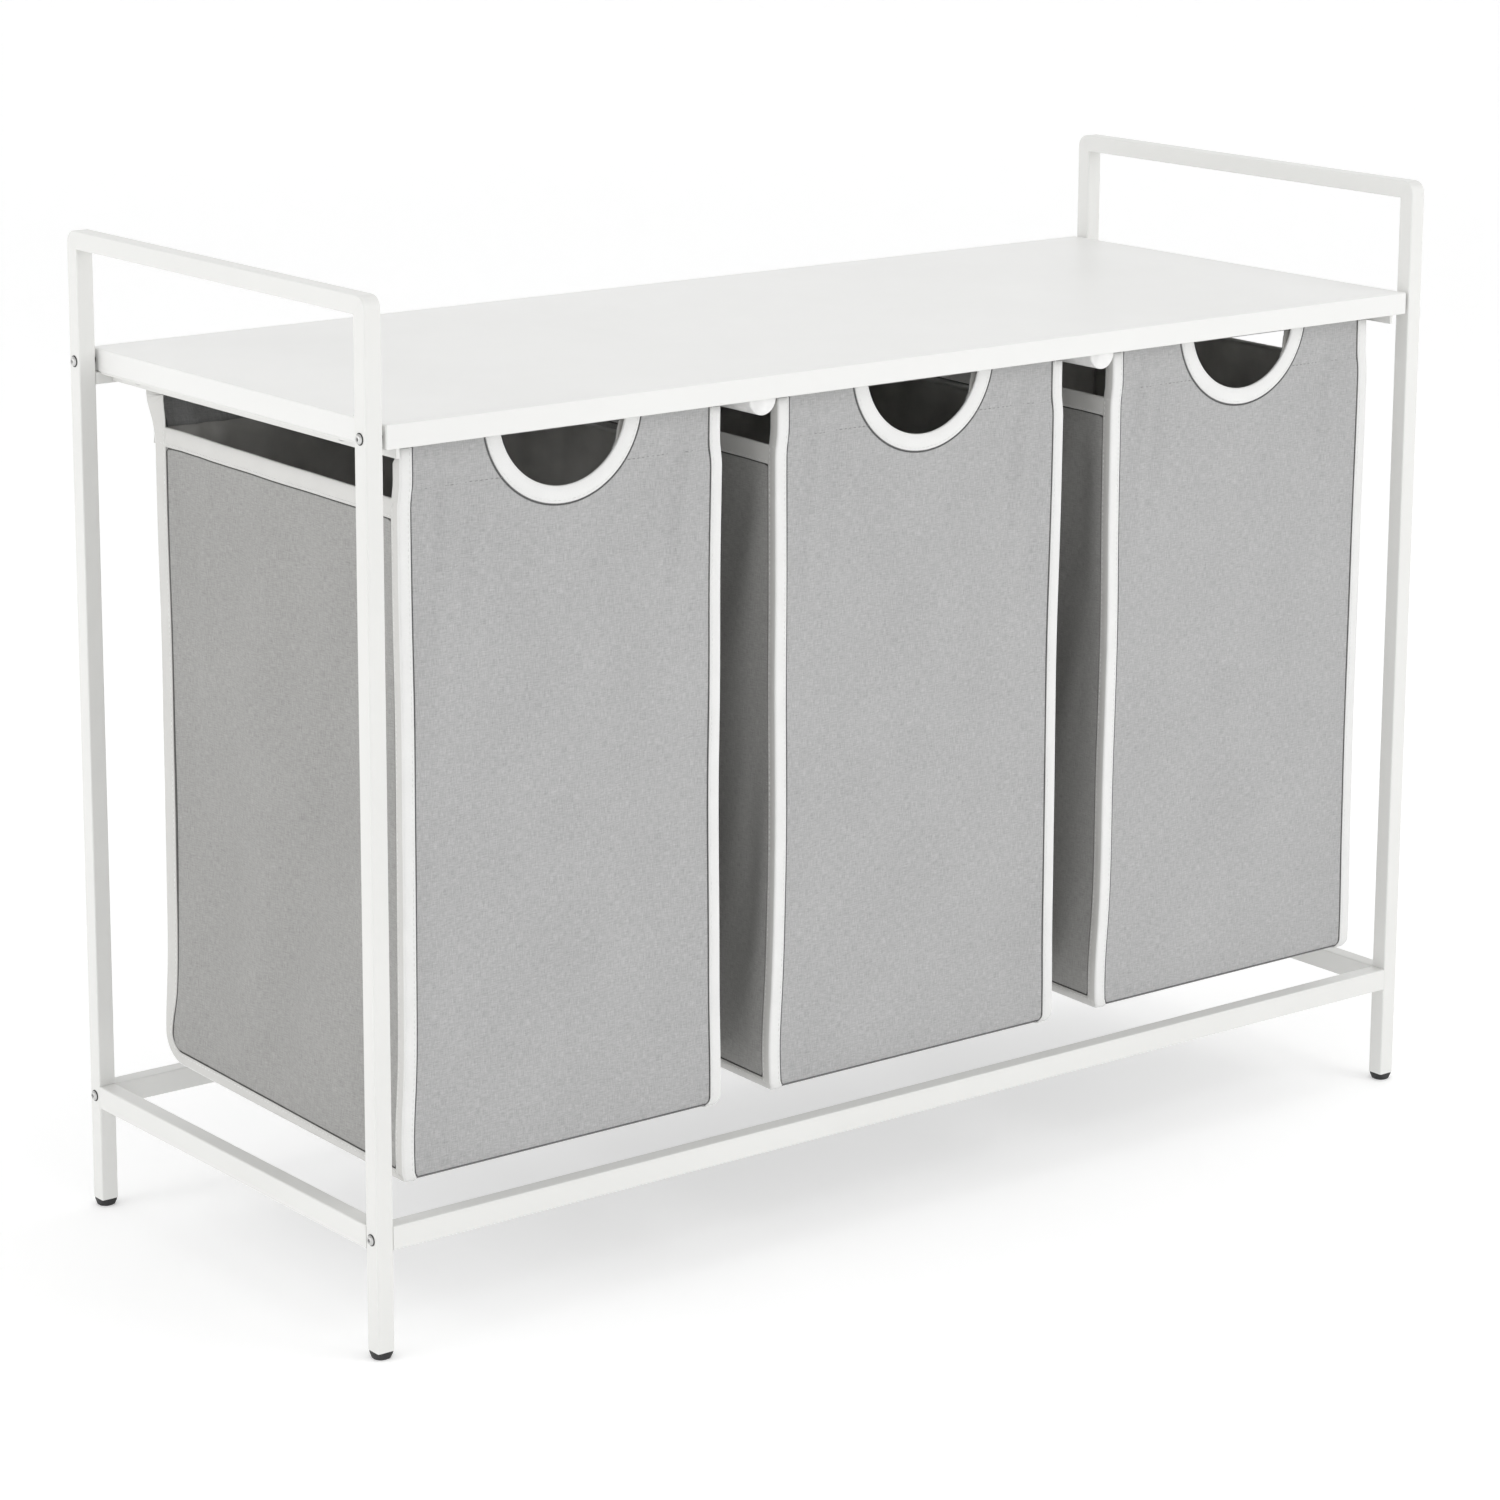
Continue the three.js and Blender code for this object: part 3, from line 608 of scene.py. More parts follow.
def spaced(points, step):
    """The same line with its points about one step apart, and closer on its bends."""
    line = np.asarray(points, float)
    run = np.diff(line, axis=0)
    length = np.linalg.norm(run, axis=1)
    line = line[np.concatenate([[True], length > 1e-6])]
    run = np.diff(line, axis=0)
    length = np.linalg.norm(run, axis=1)
    turn = np.zeros(len(length))
    direction = run / length[:, None]
    turn[1:] = np.arccos(np.clip((direction[1:] * direction[:-1]).sum(1), -1, 1))
    cost = np.concatenate([[0], np.cumsum(length / step + turn / 0.22)])
    at = np.linspace(0, cost[-1], max(3, math.ceil(cost[-1]) + 1))
    return np.stack([np.interp(at, cost, line[:, k]) for k in (0, 1)], axis=1)


def run_along(line):
    """How far along a line each of its points is."""
    return np.concatenate([[0], np.cumsum(np.linalg.norm(np.diff(line, axis=0), axis=1))])


def outward(line):
    """The outward normals of a line that runs down the front, under the bottom and up the back."""
    along = np.gradient(line, axis=0)
    along /= np.linalg.norm(along, axis=1)[:, None]
    return np.stack([along[:, 1], -along[:, 0]], axis=1)


def thicken(made, thickness):
    """A wall inwards from the outer face, whose inner face takes the second material."""
    wall = made.modifiers.new("wall", "SOLIDIFY")
    wall.thickness = thickness
    wall.offset = -1
    wall.material_offset = 1
    return made


# ---------------------------------------------------------------- sewing


def sew_strip(shape, cloth, lining):
    """The one length of cloth that makes the front, the bottom and the back of a bag."""
    s = shape.settings
    line = shape.strip_line(s.grid)
    along = run_along(line)
    columns = 2 * round(shape.half / s.grid) + 1
    points, uv = np.zeros((len(line), columns, 3)), np.zeros((len(line), columns, 2))
    seam = np.zeros((len(line), columns))
    front_rows = line[:, 0] < shape.front + 8 * MM
    turn = np.abs(line - (shape.front + 1 * MM, shape.bottom + 2 * MM)).sum(1).argmin()
    for i, (y, z) in enumerate(line):
        for j, share in enumerate(np.linspace(-1, 1, columns)):
            x = share * shape.half_width(z, math.copysign(1, share))
            forward, down = 0.0, 0.0
            if front_rows[i] and z > shape.bottom + s.front_corner:
                forward = shape.front_swell(x, z)
            elif y > 0 and z > shape.floor(y) + s.back_corner:
                forward = -shape.back_swell(x, z)
            elif y < shape.back - s.back_corner:
                t = (y - shape.front) / (shape.back - shape.front)
                down = shape.in_seams(x, z) * 1.2 * MM * math.sin(math.pi * max(0, t))
            points[i, j] = (x, y - forward, z - down)
            uv[i, j] = (x, along[i])
            # The seam value is the distance to the nearest of the tapes' edges and the fold under the front;
            # the cloth finish paints a shadow line where it is small.
            seam[i, j] = shape.half_width(z, math.copysign(1, share)) - abs(x) - s.tape_width
            seam[i, j] = min(seam[i, j], abs(along[i] - along[turn]) + 0.3 * MM)
            if front_rows[i]:
                rim = math.hypot(x, z - shape.hole_centre) - shape.hole_radius
                seam[i, j] = min(seam[i, j], rim - s.hole_tape_width)
    keep = open_hole(shape, points, front_rows)
    points[..., 0] += shape.middle
    made = piece(
        f"{shape.bag}_cloth_front_and_back",
        points.reshape(-1, 3),
        grid_faces(len(line), columns, True, keep),
        (cloth, lining),
        uv.reshape(-1, 2),
        seam,
    )
    drop_loose(made)
    return thicken(made, s.thickness), along[-1]


def open_hole(shape, points, front_rows):
    """Marks the squares outside the hand hole and draws the edge of the rest onto its circle."""
    rows, columns = points.shape[:2]
    centre = (points[:-1, :-1] + points[1:, 1:]) / 2
    away = np.hypot(centre[..., 0], centre[..., 2] - shape.hole_centre)
    keep = (away > shape.hole_radius) | ~front_rows[:-1, None]
    inside = np.zeros((rows, columns), bool)
    outside = np.zeros((rows, columns), bool)
    for down in (0, 1):
        for right in (0, 1):
            inside[down : rows - 1 + down, right : columns - 1 + right] |= ~keep
            outside[down : rows - 1 + down, right : columns - 1 + right] |= keep
    for i, j in zip(*np.nonzero(inside & outside)):
        x, z = points[i, j, 0], points[i, j, 2] - shape.hole_centre
        pull = shape.hole_radius / math.hypot(x, z)
        points[i, j, 0] = x * pull
        points[i, j, 2] = min(shape.hole_centre + z * pull, shape.top)
    return keep


def drop_loose(made):
    """Removes the points that no face uses."""
    bm = bmesh.new()
    bm.from_mesh(made.data)
    bmesh.ops.delete(bm, geom=[v for v in bm.verts if not v.link_faces], context="VERTS")
    bm.to_mesh(made.data)
    bm.free()


def sew_side(shape, side, cloth, lining):
    """A side panel, cut to the seam's outline and hanging slightly inwards."""
    s = shape.settings
    inner = shape.front + 0.2 * MM
    corner = list(s.back_corner * (1 - np.cos(np.linspace(0, math.pi / 2, 12))))
    tall = shape.side_top - shape.bottom - s.bottom_rise
    heights = corner + list(np.linspace(s.back_corner, tall, round(tall / s.grid)))[1:]
    columns = round((shape.back - inner) / s.grid)
    points, uv, seam = [], [], []
    for above in heights:
        low = shape.front_at(above)
        high = shape.back_at(above, shape.bottom + above + s.bottom_rise) - 0.2 * MM
        for t in np.linspace(0, 1, columns):
            y = low + (high - low) * t
            floor = shape.floor(y)
            z = floor + above
            if above > s.back_corner:
                start = floor + s.back_corner
                share = (above - s.back_corner) / (tall - s.back_corner)
                z = start + (shape.hem_line(y) - start) * share
            x = side * (shape.half_width(z, side) - shape.side_bow(y, z, side))
            points.append((x + shape.middle, y, z))
            uv.append((y, z))
            # The seam value is the distance to the nearest tape's edge; the cloth finish paints a shadow
            # line where it is small.
            wide = shape.side_tape(y, z)
            edges = (y - low - wide, high - y - wide, z - floor - wide)
            seam.append(min(*edges, shape.hem_line(y) - s.hem_width - z))
    made = piece(
        f"{shape.bag}_cloth_{SIDE_WORDS[side]}_side",
        points,
        grid_faces(len(heights), columns, side < 0),
        (cloth, lining),
        uv,
        seam,
    )
    return thicken(made, s.thickness)


def base_board(shape, material):
    """The stiffener, lying along the bottom cloth and ending before it turns up the back."""
    rings = []
    start, end = shape.front + 7 * MM, shape.back - shape.settings.back_corner - 1 * MM
    for y in np.linspace(start, end, 12):
        inset = 9 * MM if y in (start, end) else 6 * MM
        x = shape.half - inset
        low = shape.floor(y) + 1.5 * MM
        high = low + 2.4 * MM
        corner = 0.5 * MM
        section = [(-x, low + corner), (-x + corner, low), (x - corner, low), (x, low + corner)]
        section += [(x, high - corner), (x - corner, high), (-x + corner, high), (-x, high - corner)]
        rings.append([(shape.middle + px, y, pz) for px, pz in section])
    made = sweep(f"{shape.bag}_stiffener", rings, (material,))
    made.data.polygons.foreach_set("use_smooth", [False] * len(made.data.polygons))
    return made


# ---------------------------------------------------------------- binding


def run_across(section):
    """How far each point of a tape's section lies from the first, along the tape's face."""
    steps = [math.dist(a, b) for a, b in zip(section, section[1:])]
    return [sum(steps[:k]) for k in range(len(section))]


def folded_section(out, down, thick, r):
    """The section of a tape folded over an edge: (sideways, outwards) from the seam's corner."""
    points = [(-out, 0.05 * MM), (-out, thick * 0.6), (-out + 0.35 * MM, thick)]
    for a in np.linspace(0, math.pi / 2, 5):
        points.append((thick - r + r * math.sin(a), thick - r + r * math.cos(a)))
    points += [(thick, -down + 0.35 * MM), (thick * 0.6, -down), (0.05 * MM, -down)]
    points += [(0.05 * MM, -down * 0.5), (0.05 * MM, 0.05 * MM), (-out * 0.5, 0.05 * MM)]
    return points


def bind_seam(shape, side, tape, side_tape):
    """The tape folded over one side seam, from the front's top round to the back's top."""
    s = shape.settings
    line = shape.outline(5 * MM)
    normal = outward(line)
    along = run_along(line)
    rings, uv = [], []
    for (y, z), n, far in zip(line, normal, along):
        free = ease(z, shape.wire_z - 9 * MM, shape.wire_z - 3.5 * MM)
        drift = noise.noise(Vector((far * 14, side * 2.3, shape.seed))) * 0.12 * MM
        down = (shape.side_tape(y, z) + drift) * (1 - free) + 1.0 * MM * free
        section = folded_section(s.tape_width - drift, down, s.tape_thickness, 1.4 * MM)
        ring = []
        for sideways, out in section:
            level = z + n[1] * out
            x = shape.half_width(level, side) + sideways
            ring.append((shape.middle + side * x, y + n[0] * out, level))
        rings.append(ring)
        uv.append([(run, far) for run in run_across(section)])
    made = sweep(f"{shape.bag}_binding_{SIDE_WORDS[side]}", rings, (tape, side_tape), uv)
    # Painted shade: the faces of the fold that lie on the side panel take the darker side tape finish.
    for face in made.data.polygons:
        on_side = [k % len(section) > 6 for k in face.vertices]
        face.material_index = int(sum(on_side) > 2)
    return made


def folded_hem(wide, cloth, thick):
    """The section of a tape folded over the top of a cloth: (outwards, up) from the outer face."""
    outer, inner = thick, -cloth - thick
    points = [(0.02 * MM, -wide), (outer * 0.6, -wide), (outer, -wide + 0.35 * MM)]
    mid = (outer + inner) / 2
    reach = (outer - inner) / 2
    for a in np.linspace(0, math.pi, 7):
        points.append((mid + reach * math.cos(a), 0.2 * MM + reach * 0.8 * math.sin(a)))
    points += [(inner, -1.2 * MM), (-cloth - 0.02 * MM, -1.4 * MM), (-cloth - 0.02 * MM, -0.4 * MM)]
    points += [(0.02 * MM, -0.4 * MM)]
    return points


def hem_side(shape, side, tape):
    """The tape folded over the top edge of a side panel."""
    s = shape.settings
    section = folded_hem(s.hem_width, s.thickness, s.tape_thickness)
    runs = run_across(section)
    inset = 1.2 * MM
    rings, uv = [], []
    for y in np.linspace(shape.front + inset, shape.back_line(shape.side_top) - inset, 60):
        top = shape.hem_line(y)
        ring = []
        for out, up in section:
            z = top + up
            edge = shape.half_width(z, side) - shape.side_bow(y, min(z, top), side)
            ring.append((shape.middle + side * (edge + out), y, z))
        rings.append(ring)
        uv.append([(run, y) for run in runs])
    return sweep(f"{shape.bag}_hem_{SIDE_WORDS[side]}", rings, (tape,), uv)


def trim_hole(shape, tape):
    """The tape folded over the rim of the hand hole, round both faces of the outer layer."""
    s = shape.settings
    thick, wide = s.tape_thickness, s.hole_tape_width
    behind = s.thickness + thick * 0.7
    touching = s.thickness - 0.02 * MM
    section = [
        (wide - 0.5 * MM, 0.02 * MM), (wide - 0.5 * MM, -thick * 0.6), (wide - 0.9 * MM, -thick),
        (0.3 * MM, -thick), (-0.5 * MM, -thick * 0.5), (-0.7 * MM, s.thickness / 2),
        (-0.5 * MM, s.thickness + thick * 0.3), (0.3 * MM, behind), (wide - 3 * MM, behind),
        (wide - 3 * MM, touching), (0.1 * MM, touching), (0.1 * MM, 0.02 * MM),
    ]
    runs = run_across(section)
    lean = math.asin((shape.hole_centre - shape.top + 3.2 * MM) / (shape.hole_radius + wide))
    rings, uv = [], []
    for a in np.linspace(math.pi + lean, 2 * math.pi - lean, 72):
        ring = []
        for reach, deep in section:
            r = shape.hole_radius + reach
            x, z = r * math.cos(a), shape.hole_centre + r * math.sin(a)
            ring.append((shape.middle + x, shape.front - shape.front_swell(x, z) + deep, z))
        rings.append(ring)
        uv.append([(run, a * shape.hole_radius) for run in runs])
    return sweep(f"{shape.bag}_hand_hole_outer", rings, (tape,), uv)


# ---------------------------------------------------------------- stitches and bolts


class CopyTree:
    """A geometry tree under construction, which sets copies of a pattern along what it is given."""

    def __init__(self, name, inputs):
        self.tree = bpy.data.node_groups.new(name, "GeometryNodeTree")
        face = self.tree.interface
        face.new_socket("Geometry", in_out="INPUT", socket_type="NodeSocketGeometry")
        for word, (kind, value) in inputs.items():
            socket = face.new_socket(word, in_out="INPUT", socket_type=kind)
            if value is not None:
                socket.default_value = value
        face.new_socket("Geometry", in_out="OUTPUT", socket_type="NodeSocketGeometry")
        self.given = self.tree.nodes.new("NodeGroupInput").outputs
        self.result = self.tree.nodes.new("NodeGroupOutput").inputs

    def node(self, kind, links=(), values=(), **settings):
        """A node's outputs, with its settings, its inputs' values and what is joined to them."""
        made = self.tree.nodes.new(kind)
        for key, value in settings.items():
            setattr(made, key, value)
        for key, value in dict(values).items():
            made.inputs[key].default_value = value
        for key, output in dict(links).items():
            self.tree.links.new(output, made.inputs[key])
        return made.outputs

    def copies(self, points, pattern, way, **links):
        """Ends the tree with a copy of the pattern on every point, turned to a direction."""
        turn = self.node("FunctionNodeAlignRotationToVector", {"Vector": way}, axis="Z")["Rotation"]
        links = {"Points": points, "Instance": pattern, "Rotation": turn, **links}
        laid = self.node("GeometryNodeInstanceOnPoints", links)["Instances"]
        real = self.node("GeometryNodeRealizeInstances", {"Geometry": laid})["Geometry"]
        links = {"Geometry": real, "Material": self.given["Material"]}
        dressed = self.node("GeometryNodeSetMaterial", links)["Geometry"]
        self.tree.links.new(dressed, self.result["Geometry"])
        return self.tree


def stitch_tree():
    """Lays one small rounded stitch after another along every line it is given."""
    made = CopyTree(
        "Stitches",
        {
            "Length": ("NodeSocketFloat", 2.7 * MM),
            "Pitch": ("NodeSocketFloat", 3.8 * MM),
            "Thread": ("NodeSocketFloat", 0.28 * MM),
            "Material": ("NodeSocketMaterial", None),
        },
    )
    given = made.given
    curve = made.node("GeometryNodeMeshToCurve", {"Mesh": given["Geometry"]})["Curve"]
    links = {"Curve": curve, "Length": given["Pitch"]}
    marks = made.node("GeometryNodeCurveToPoints", links, mode="LENGTH")
    ball = {"Segments": 6, "Rings": 4}
    stitch = made.node("GeometryNodeMeshUVSphere", {"Radius": given["Thread"]}, ball)["Mesh"]
    half = made.node("ShaderNodeMath", {0: given["Length"]}, {1: 2.0}, operation="DIVIDE")[0]
    stretch = made.node("ShaderNodeMath", {0: half, 1: given["Thread"]}, operation="DIVIDE")[0]
    size = made.node("ShaderNodeCombineXYZ", {"Z": stretch}, {"X": 1.0, "Y": 1.0})["Vector"]
    return made.copies(marks["Points"], stitch, marks["Tangent"], Scale=size)


def point_tree():
    """Sets a copy of a pattern on every point, turned to the point's outward direction."""
    inputs = {"Pattern": ("NodeSocketObject", None), "Material": ("NodeSocketMaterial", None)}
    made = CopyTree("Copies", inputs)
    pattern = made.node("GeometryNodeObjectInfo", {"Object": made.given["Pattern"]})["Geometry"]
    way = made.node(
        "GeometryNodeInputNamedAttribute", values={"Name": "outward"}, data_type="FLOAT_VECTOR"
    )
    return made.copies(made.given["Geometry"], pattern, way["Attribute"])


def run_tree(name, tree, source, values):
    """The tree's result on a source object, as a plain mesh piece of that name."""
    modifier = source.modifiers.new("made", "NODES")
    modifier.node_group = tree
    for socket in tree.interface.items_tree:
        if socket.in_out == "INPUT" and socket.name in values:
            modifier[socket.identifier] = values[socket.name]
    bpy.context.view_layer.update()
    shown = source.evaluated_get(bpy.context.evaluated_depsgraph_get())
    mesh = bpy.data.meshes.new_from_object(shown)
    mesh.name = name
    source.modifiers.clear()
    old = source.data
    source.data = mesh
    bpy.data.meshes.remove(old)
    source.name = name
    mesh.polygons.foreach_set("use_smooth", [True] * len(mesh.polygons))
    return source


def lines_object(name, lines):
    """A mesh of bare edges along each line."""
    points, edges = [], []
    for line in lines:
        start = len(points)
        points += [tuple(p) for p in line]
        edges += [(start + k, start + k + 1) for k in range(len(line) - 1)]
    mesh = bpy.data.meshes.new(name)
    mesh.from_pydata(points, edges, [])
    made = bpy.data.objects.new(name, mesh)
    bpy.context.scene.collection.objects.link(made)
    return made


def fit_copies(name, pattern, places, ways, finish):
    """One piece made of copies of a pattern, each at a place and turned to its way."""
    mesh = bpy.data.meshes.new(name)
    mesh.from_pydata(places, [], [])
    outward_way = mesh.attributes.new("outward", "FLOAT_VECTOR", "POINT")
    outward_way.data.foreach_set("vector", np.array(ways, np.float32).ravel())
    source = bpy.data.objects.new(name, mesh)
    bpy.context.scene.collection.objects.link(source)
    values = {"Pattern": pattern, "Material": finish_named(finish)}
    made = run_tree(name, point_tree(), source, values)
    bpy.data.objects.remove(pattern)
    return made


def seam_lines(shape):
    """Where the needle runs on a bag's tapes."""
    s = shape.settings
    line = shape.outline(4 * MM)
    normal = outward(line)
    thick = s.tape_thickness
    found = []
    for side in SIDE_WORDS:
        face, edge = [], []
        for (y, z), n in zip(line, normal):
            x = shape.half_width(z, side)
            inset = s.tape_width - 1.7 * MM
            face.append((shape.middle + side * (x - inset), y + n[0] * thick, z + n[1] * thick))
            if z < shape.side_top - 4 * MM:
                deep = shape.side_tape(y, z) - 1.7 * MM
                x = shape.half_width(z - n[1] * deep, side) + thick
                edge.append((shape.middle + side * x, y - n[0] * deep, z - n[1] * deep))
        found += [face, edge]
        hem = []
        for y in np.linspace(shape.front + 10 * MM, shape.back - 8 * MM, 60):
            z = shape.hem_line(y) - s.hem_width + 1.8 * MM
            x = shape.half_width(z, side) - shape.side_bow(y, z, side)
            hem.append((shape.middle + side * (x + thick), y, z))
        found.append(hem)
    rim = []
    reach = shape.hole_radius + s.hole_tape_width - 2.2 * MM
    for a in np.linspace(math.pi + 0.1, 2 * math.pi - 0.1, 60):
        x, z = reach * math.cos(a), shape.hole_centre + reach * math.sin(a)
        rim.append((shape.middle + x, shape.front - shape.front_swell(x, z) - thick, z))
    found.append(rim)
    return found


def sleeve_lines(shape):
    """Where the needle closes the two sleeves, through the grey cloth beside the hand hole."""
    s = shape.settings
    z = shape.seam
    edge = shape.half_width(z, 1) - s.tape_width
    rim = shape.hole_radius + s.hole_tape_width
    hole = math.sqrt(rim**2 - (shape.hole_centre - z) ** 2)
    front = []
    for side in SIDE_WORDS:
        across = side * np.linspace(hole, edge, 40)
        front.append([(shape.middle + x, shape.front - shape.front_swell(x, z), z) for x in across])
    back = [(shape.middle + x, shape.back_line(z), z) for x in np.linspace(-edge, edge, 80)]
    return [*front, back]


def rounded_foot(half, height, plug):
    """One foot along Z: a square pad with a rounded underside, and the plug above it."""
    def ring(reach, corner, z):
        found = []
        for turn in range(4):
            for a in np.linspace(0, math.pi / 2, 6) + turn * math.pi / 2:
                way = turn * math.pi / 2 + math.pi / 4
                x = (reach - corner) * math.sqrt(2) * math.cos(way) + corner * math.cos(a)
                y = (reach - corner) * math.sqrt(2) * math.sin(way) + corner * math.sin(a)
                found.append((x, y, z))
        return found

    rings = [ring(half * 0.4, half * 0.35, 0), ring(half * 0.86, half * 0.8, 0)]
    for a in np.linspace(0.5, math.pi / 2, 4):
        rings.append(ring(half * (0.86 + 0.14 * math.sin(a)), half * 0.85, 0.8 * MM * (1 - math.cos(a))))
    for z in np.linspace(0.8 * MM, height, 5)[1:]:
        rings.append(ring(half, half * 0.85 + (1.6 * MM - half * 0.85) * ease(z, 0, height), z))
    rings += [ring(half * 0.78, 1 * MM, height), ring(half * 0.76, 1 * MM, plug)]
    return sweep("foot_pattern", rings, ())


def button_bolt(radius, height, socket, shank, length):
    """One bolt along Z: a domed head with a hexagonal socket above its seat, and a plain shank."""
    sides = 30
    turns = np.linspace(0, 2 * math.pi, sides, endpoint=False)

    def ring(r, z):
        return [(r * math.cos(a), r * math.sin(a), z) for a in turns]

    def hexagon(z, across):
        found = []
        for a in turns:
            local = (a + math.pi / 6) % (math.pi / 3) - math.pi / 6
            r = across / 2 / math.cos(local)
            found.append((r * math.cos(a), r * math.sin(a), z))
        return found

    lip = 0.4 * MM
    seat = [ring(radius + 0.2 * MM, 0), ring(radius + 0.2 * MM, lip * 0.6), ring(radius - 0.5 * MM, lip)]
    rings = [ring(shank, -length), ring(shank, 0), *seat, ring(radius - 0.5 * MM, 2 * lip)]
    for t in np.linspace(0.15, 1, 6):
        r = radius - 0.5 * MM - (radius - 0.5 * MM - socket * 0.68) * t
        rings.append(ring(r, 2 * lip + (height - 2 * lip) * math.sin(t * math.pi / 2)))
    rings += [hexagon(height, socket), hexagon(height - 1.3 * MM, socket)]
    rings.append(ring(socket * 0.12, height - 1.6 * MM))
    # Painted shade: the shank, the seat rings and the socket carry seam 1, which the plated steel finish
    # paints dark.
    dark = [1, 1, 1, 1, 1, *[0] * (len(rings) - 7), 1, 1]
    return sweep("bolt_pattern", rings, (), seam=np.repeat(dark, sides))


# ---------------------------------------------------------------- operators


def cloth_settings():
    """The scene's sizes and colours for the bags."""
    return bpy.context.scene.sorter_cloth


def frame_settings():
    """The scene's colours for the frame."""
    return bpy.context.scene.sorter_frame


def shapes():
    """The shape of each bag with the scene's settings."""
    return [BagShape(bag, cloth_settings()) for bag in BAGS]


def finish_named(name):
    """A finish that an earlier step made."""
    made = bpy.data.materials.get(name)
    if made is None:
        raise RuntimeError(f"the finish {name} is missing")
    return made


class SORTER_OT_finishes(Operator):
    """Makes every cloth, coat and metal the sorter uses."""

    bl_idname = "sorter.finishes"
    bl_label = "Make Finishes"

    def execute(self, context):
        cloth, metal = cloth_settings(), frame_settings()
        woven_cloth("grey_woven_cloth", cloth.cloth_colour, 0.06)
        # Painted shade: the side panels get a darker copy of the woven cloth.
        woven_cloth("shaded_grey_side_cloth", cloth.shaded_side_colour, 0.04)
        coated_cloth("grey_coated_lining", cloth.brightened_lining_colour)
        ribbed_tape("white_binding_tape", cloth.tape_colour)
        ribbed_tape("shaded_white_side_tape", cloth.shaded_side_tape_colour)
        moulded_plastic("white_thread", (0.8, 0.8, 0.79), 0.8)
        moulded_plastic("grey_thread", (0.25, 0.25, 0.25), 0.8)
        powder_coat("white_powder_coat", metal.coat_colour)
        laminate("white_laminate", metal.board_colour)
        plated_steel("zinc_plated_steel", metal.steel_colour)
        moulded_plastic("white_moulded_plastic", (0.84, 0.84, 0.83), 0.45)
        moulded_plastic("black_moulded_plastic", metal.plastic_colour, 0.5)
        felt_board("grey_stiffener", (0.2, 0.2, 0.2))
        return {"FINISHED"}


class SORTER_OT_frame(Operator):
    """Coats the tubes, the rails, the shelf board, the feet and the wires."""

    bl_idname = "sorter.frame"
    bl_label = "Finish Frame"

    def execute(self, context):
        finish_of = {
            "foot": "black_moulded_plastic",
            "shelf_board": "white_laminate",
            "middle_slide": "white_moulded_plastic",
            "screw": "zinc_plated_steel",
            "bolt": "zinc_plated_steel",
            "wire_frame": "zinc_plated_steel",
        }
        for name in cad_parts:
            found = [finish for part, finish in finish_of.items() if part in name]
            dress(name, finish_named(found[0] if found else "white_powder_coat"))
        return {"FINISHED"}


class SORTER_OT_bolts(Operator):
    """Sets the button-head bolts that hold the rails and the board to the legs."""

    bl_idname = "sorter.bolts"
    bl_label = "Fit Bolts"

    def execute(self, context):
        names = [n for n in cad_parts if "_bolt_" in n]
        head, shank = 2.2 * MM, 20 * MM
        places, ways = [], []
        for name in names:
            low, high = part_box(name)
            side = -1 if high.x < 0 else 1
            seat = (low.x if side < 0 else high.x) - side * head
            places.append((seat, (low.y + high.y) / 2, (low.z + high.z) / 2))
            ways.append((side, 0, 0))
        low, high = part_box(names[0])
        pattern = button_bolt((high.z - low.z) / 2, head, 2.6 * MM, 2.0 * MM, shank)
        made = fit_copies("frame_bolts", pattern, places, ways, "zinc_plated_steel")
        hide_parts(*names)
        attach(made, "frame")
        return {"FINISHED"}


class SORTER_OT_feet(Operator):
    """Pushes the moulded feet into the ends of the legs."""

    bl_idname = "sorter.feet"
    bl_label = "Fit Feet"

    def execute(self, context):
        names = [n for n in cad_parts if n.endswith("_foot")]
        boxes = [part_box(name) for name in names]
        places = [((low.x + high.x) / 2, (low.y + high.y) / 2, low.z) for low, high in boxes]
        ways = [(0, 0, 1)] * len(places)
        low, high = boxes[0]
        pattern = rounded_foot((high.x - low.x) / 2, 4.97 * MM, high.z - low.z)
        made = fit_copies("frame_feet", pattern, places, ways, "black_moulded_plastic")
        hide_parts(*names)
        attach(made, "frame")
        return {"FINISHED"}


class SORTER_OT_cloth(Operator):
    """Sews the grey cloth of each bag: one strip round the front, bottom and back, and two sides."""

    bl_idname = "sorter.cloth"
    bl_label = "Sew Cloth"

    def execute(self, context):
        cloth, lining = finish_named("grey_woven_cloth"), finish_named("grey_coated_lining")
        for shape in shapes():
            strip, length = sew_strip(shape, cloth, lining)
            flat = (2 * shape.half, length)
            holes = shape.hole_area(shape.bottom) + shape.hole_area(shape.seam - SLEEVE_HEM)
            cut = flat[0] * flat[1] - holes
            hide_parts(*[f"{shape.bag}_{part}_panel" for part in ("front", "back", "bottom")])
            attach(strip, shape.bag)
            for side, word in SIDE_WORDS.items():
                # Painted shade: each side panel takes the darker copy of the cloth.
                panel = sew_side(shape, side, finish_named("shaded_grey_side_cloth"), lining)
                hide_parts(f"{shape.bag}_{word}_panel")
                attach(panel, shape.bag)
                cut = shape.side_cut()
        return {"FINISHED"}


class SORTER_OT_base_boards(Operator):
    """Lays the stiffening board in the bottom of each bag."""

    bl_idname = "sorter.base_boards"
    bl_label = "Lay Base Boards"

    def execute(self, context):
        for shape in shapes():
            made = base_board(shape, finish_named("grey_stiffener"))
            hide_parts(f"{shape.bag}_base_board")
            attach(made, shape.bag)
        return {"FINISHED"}


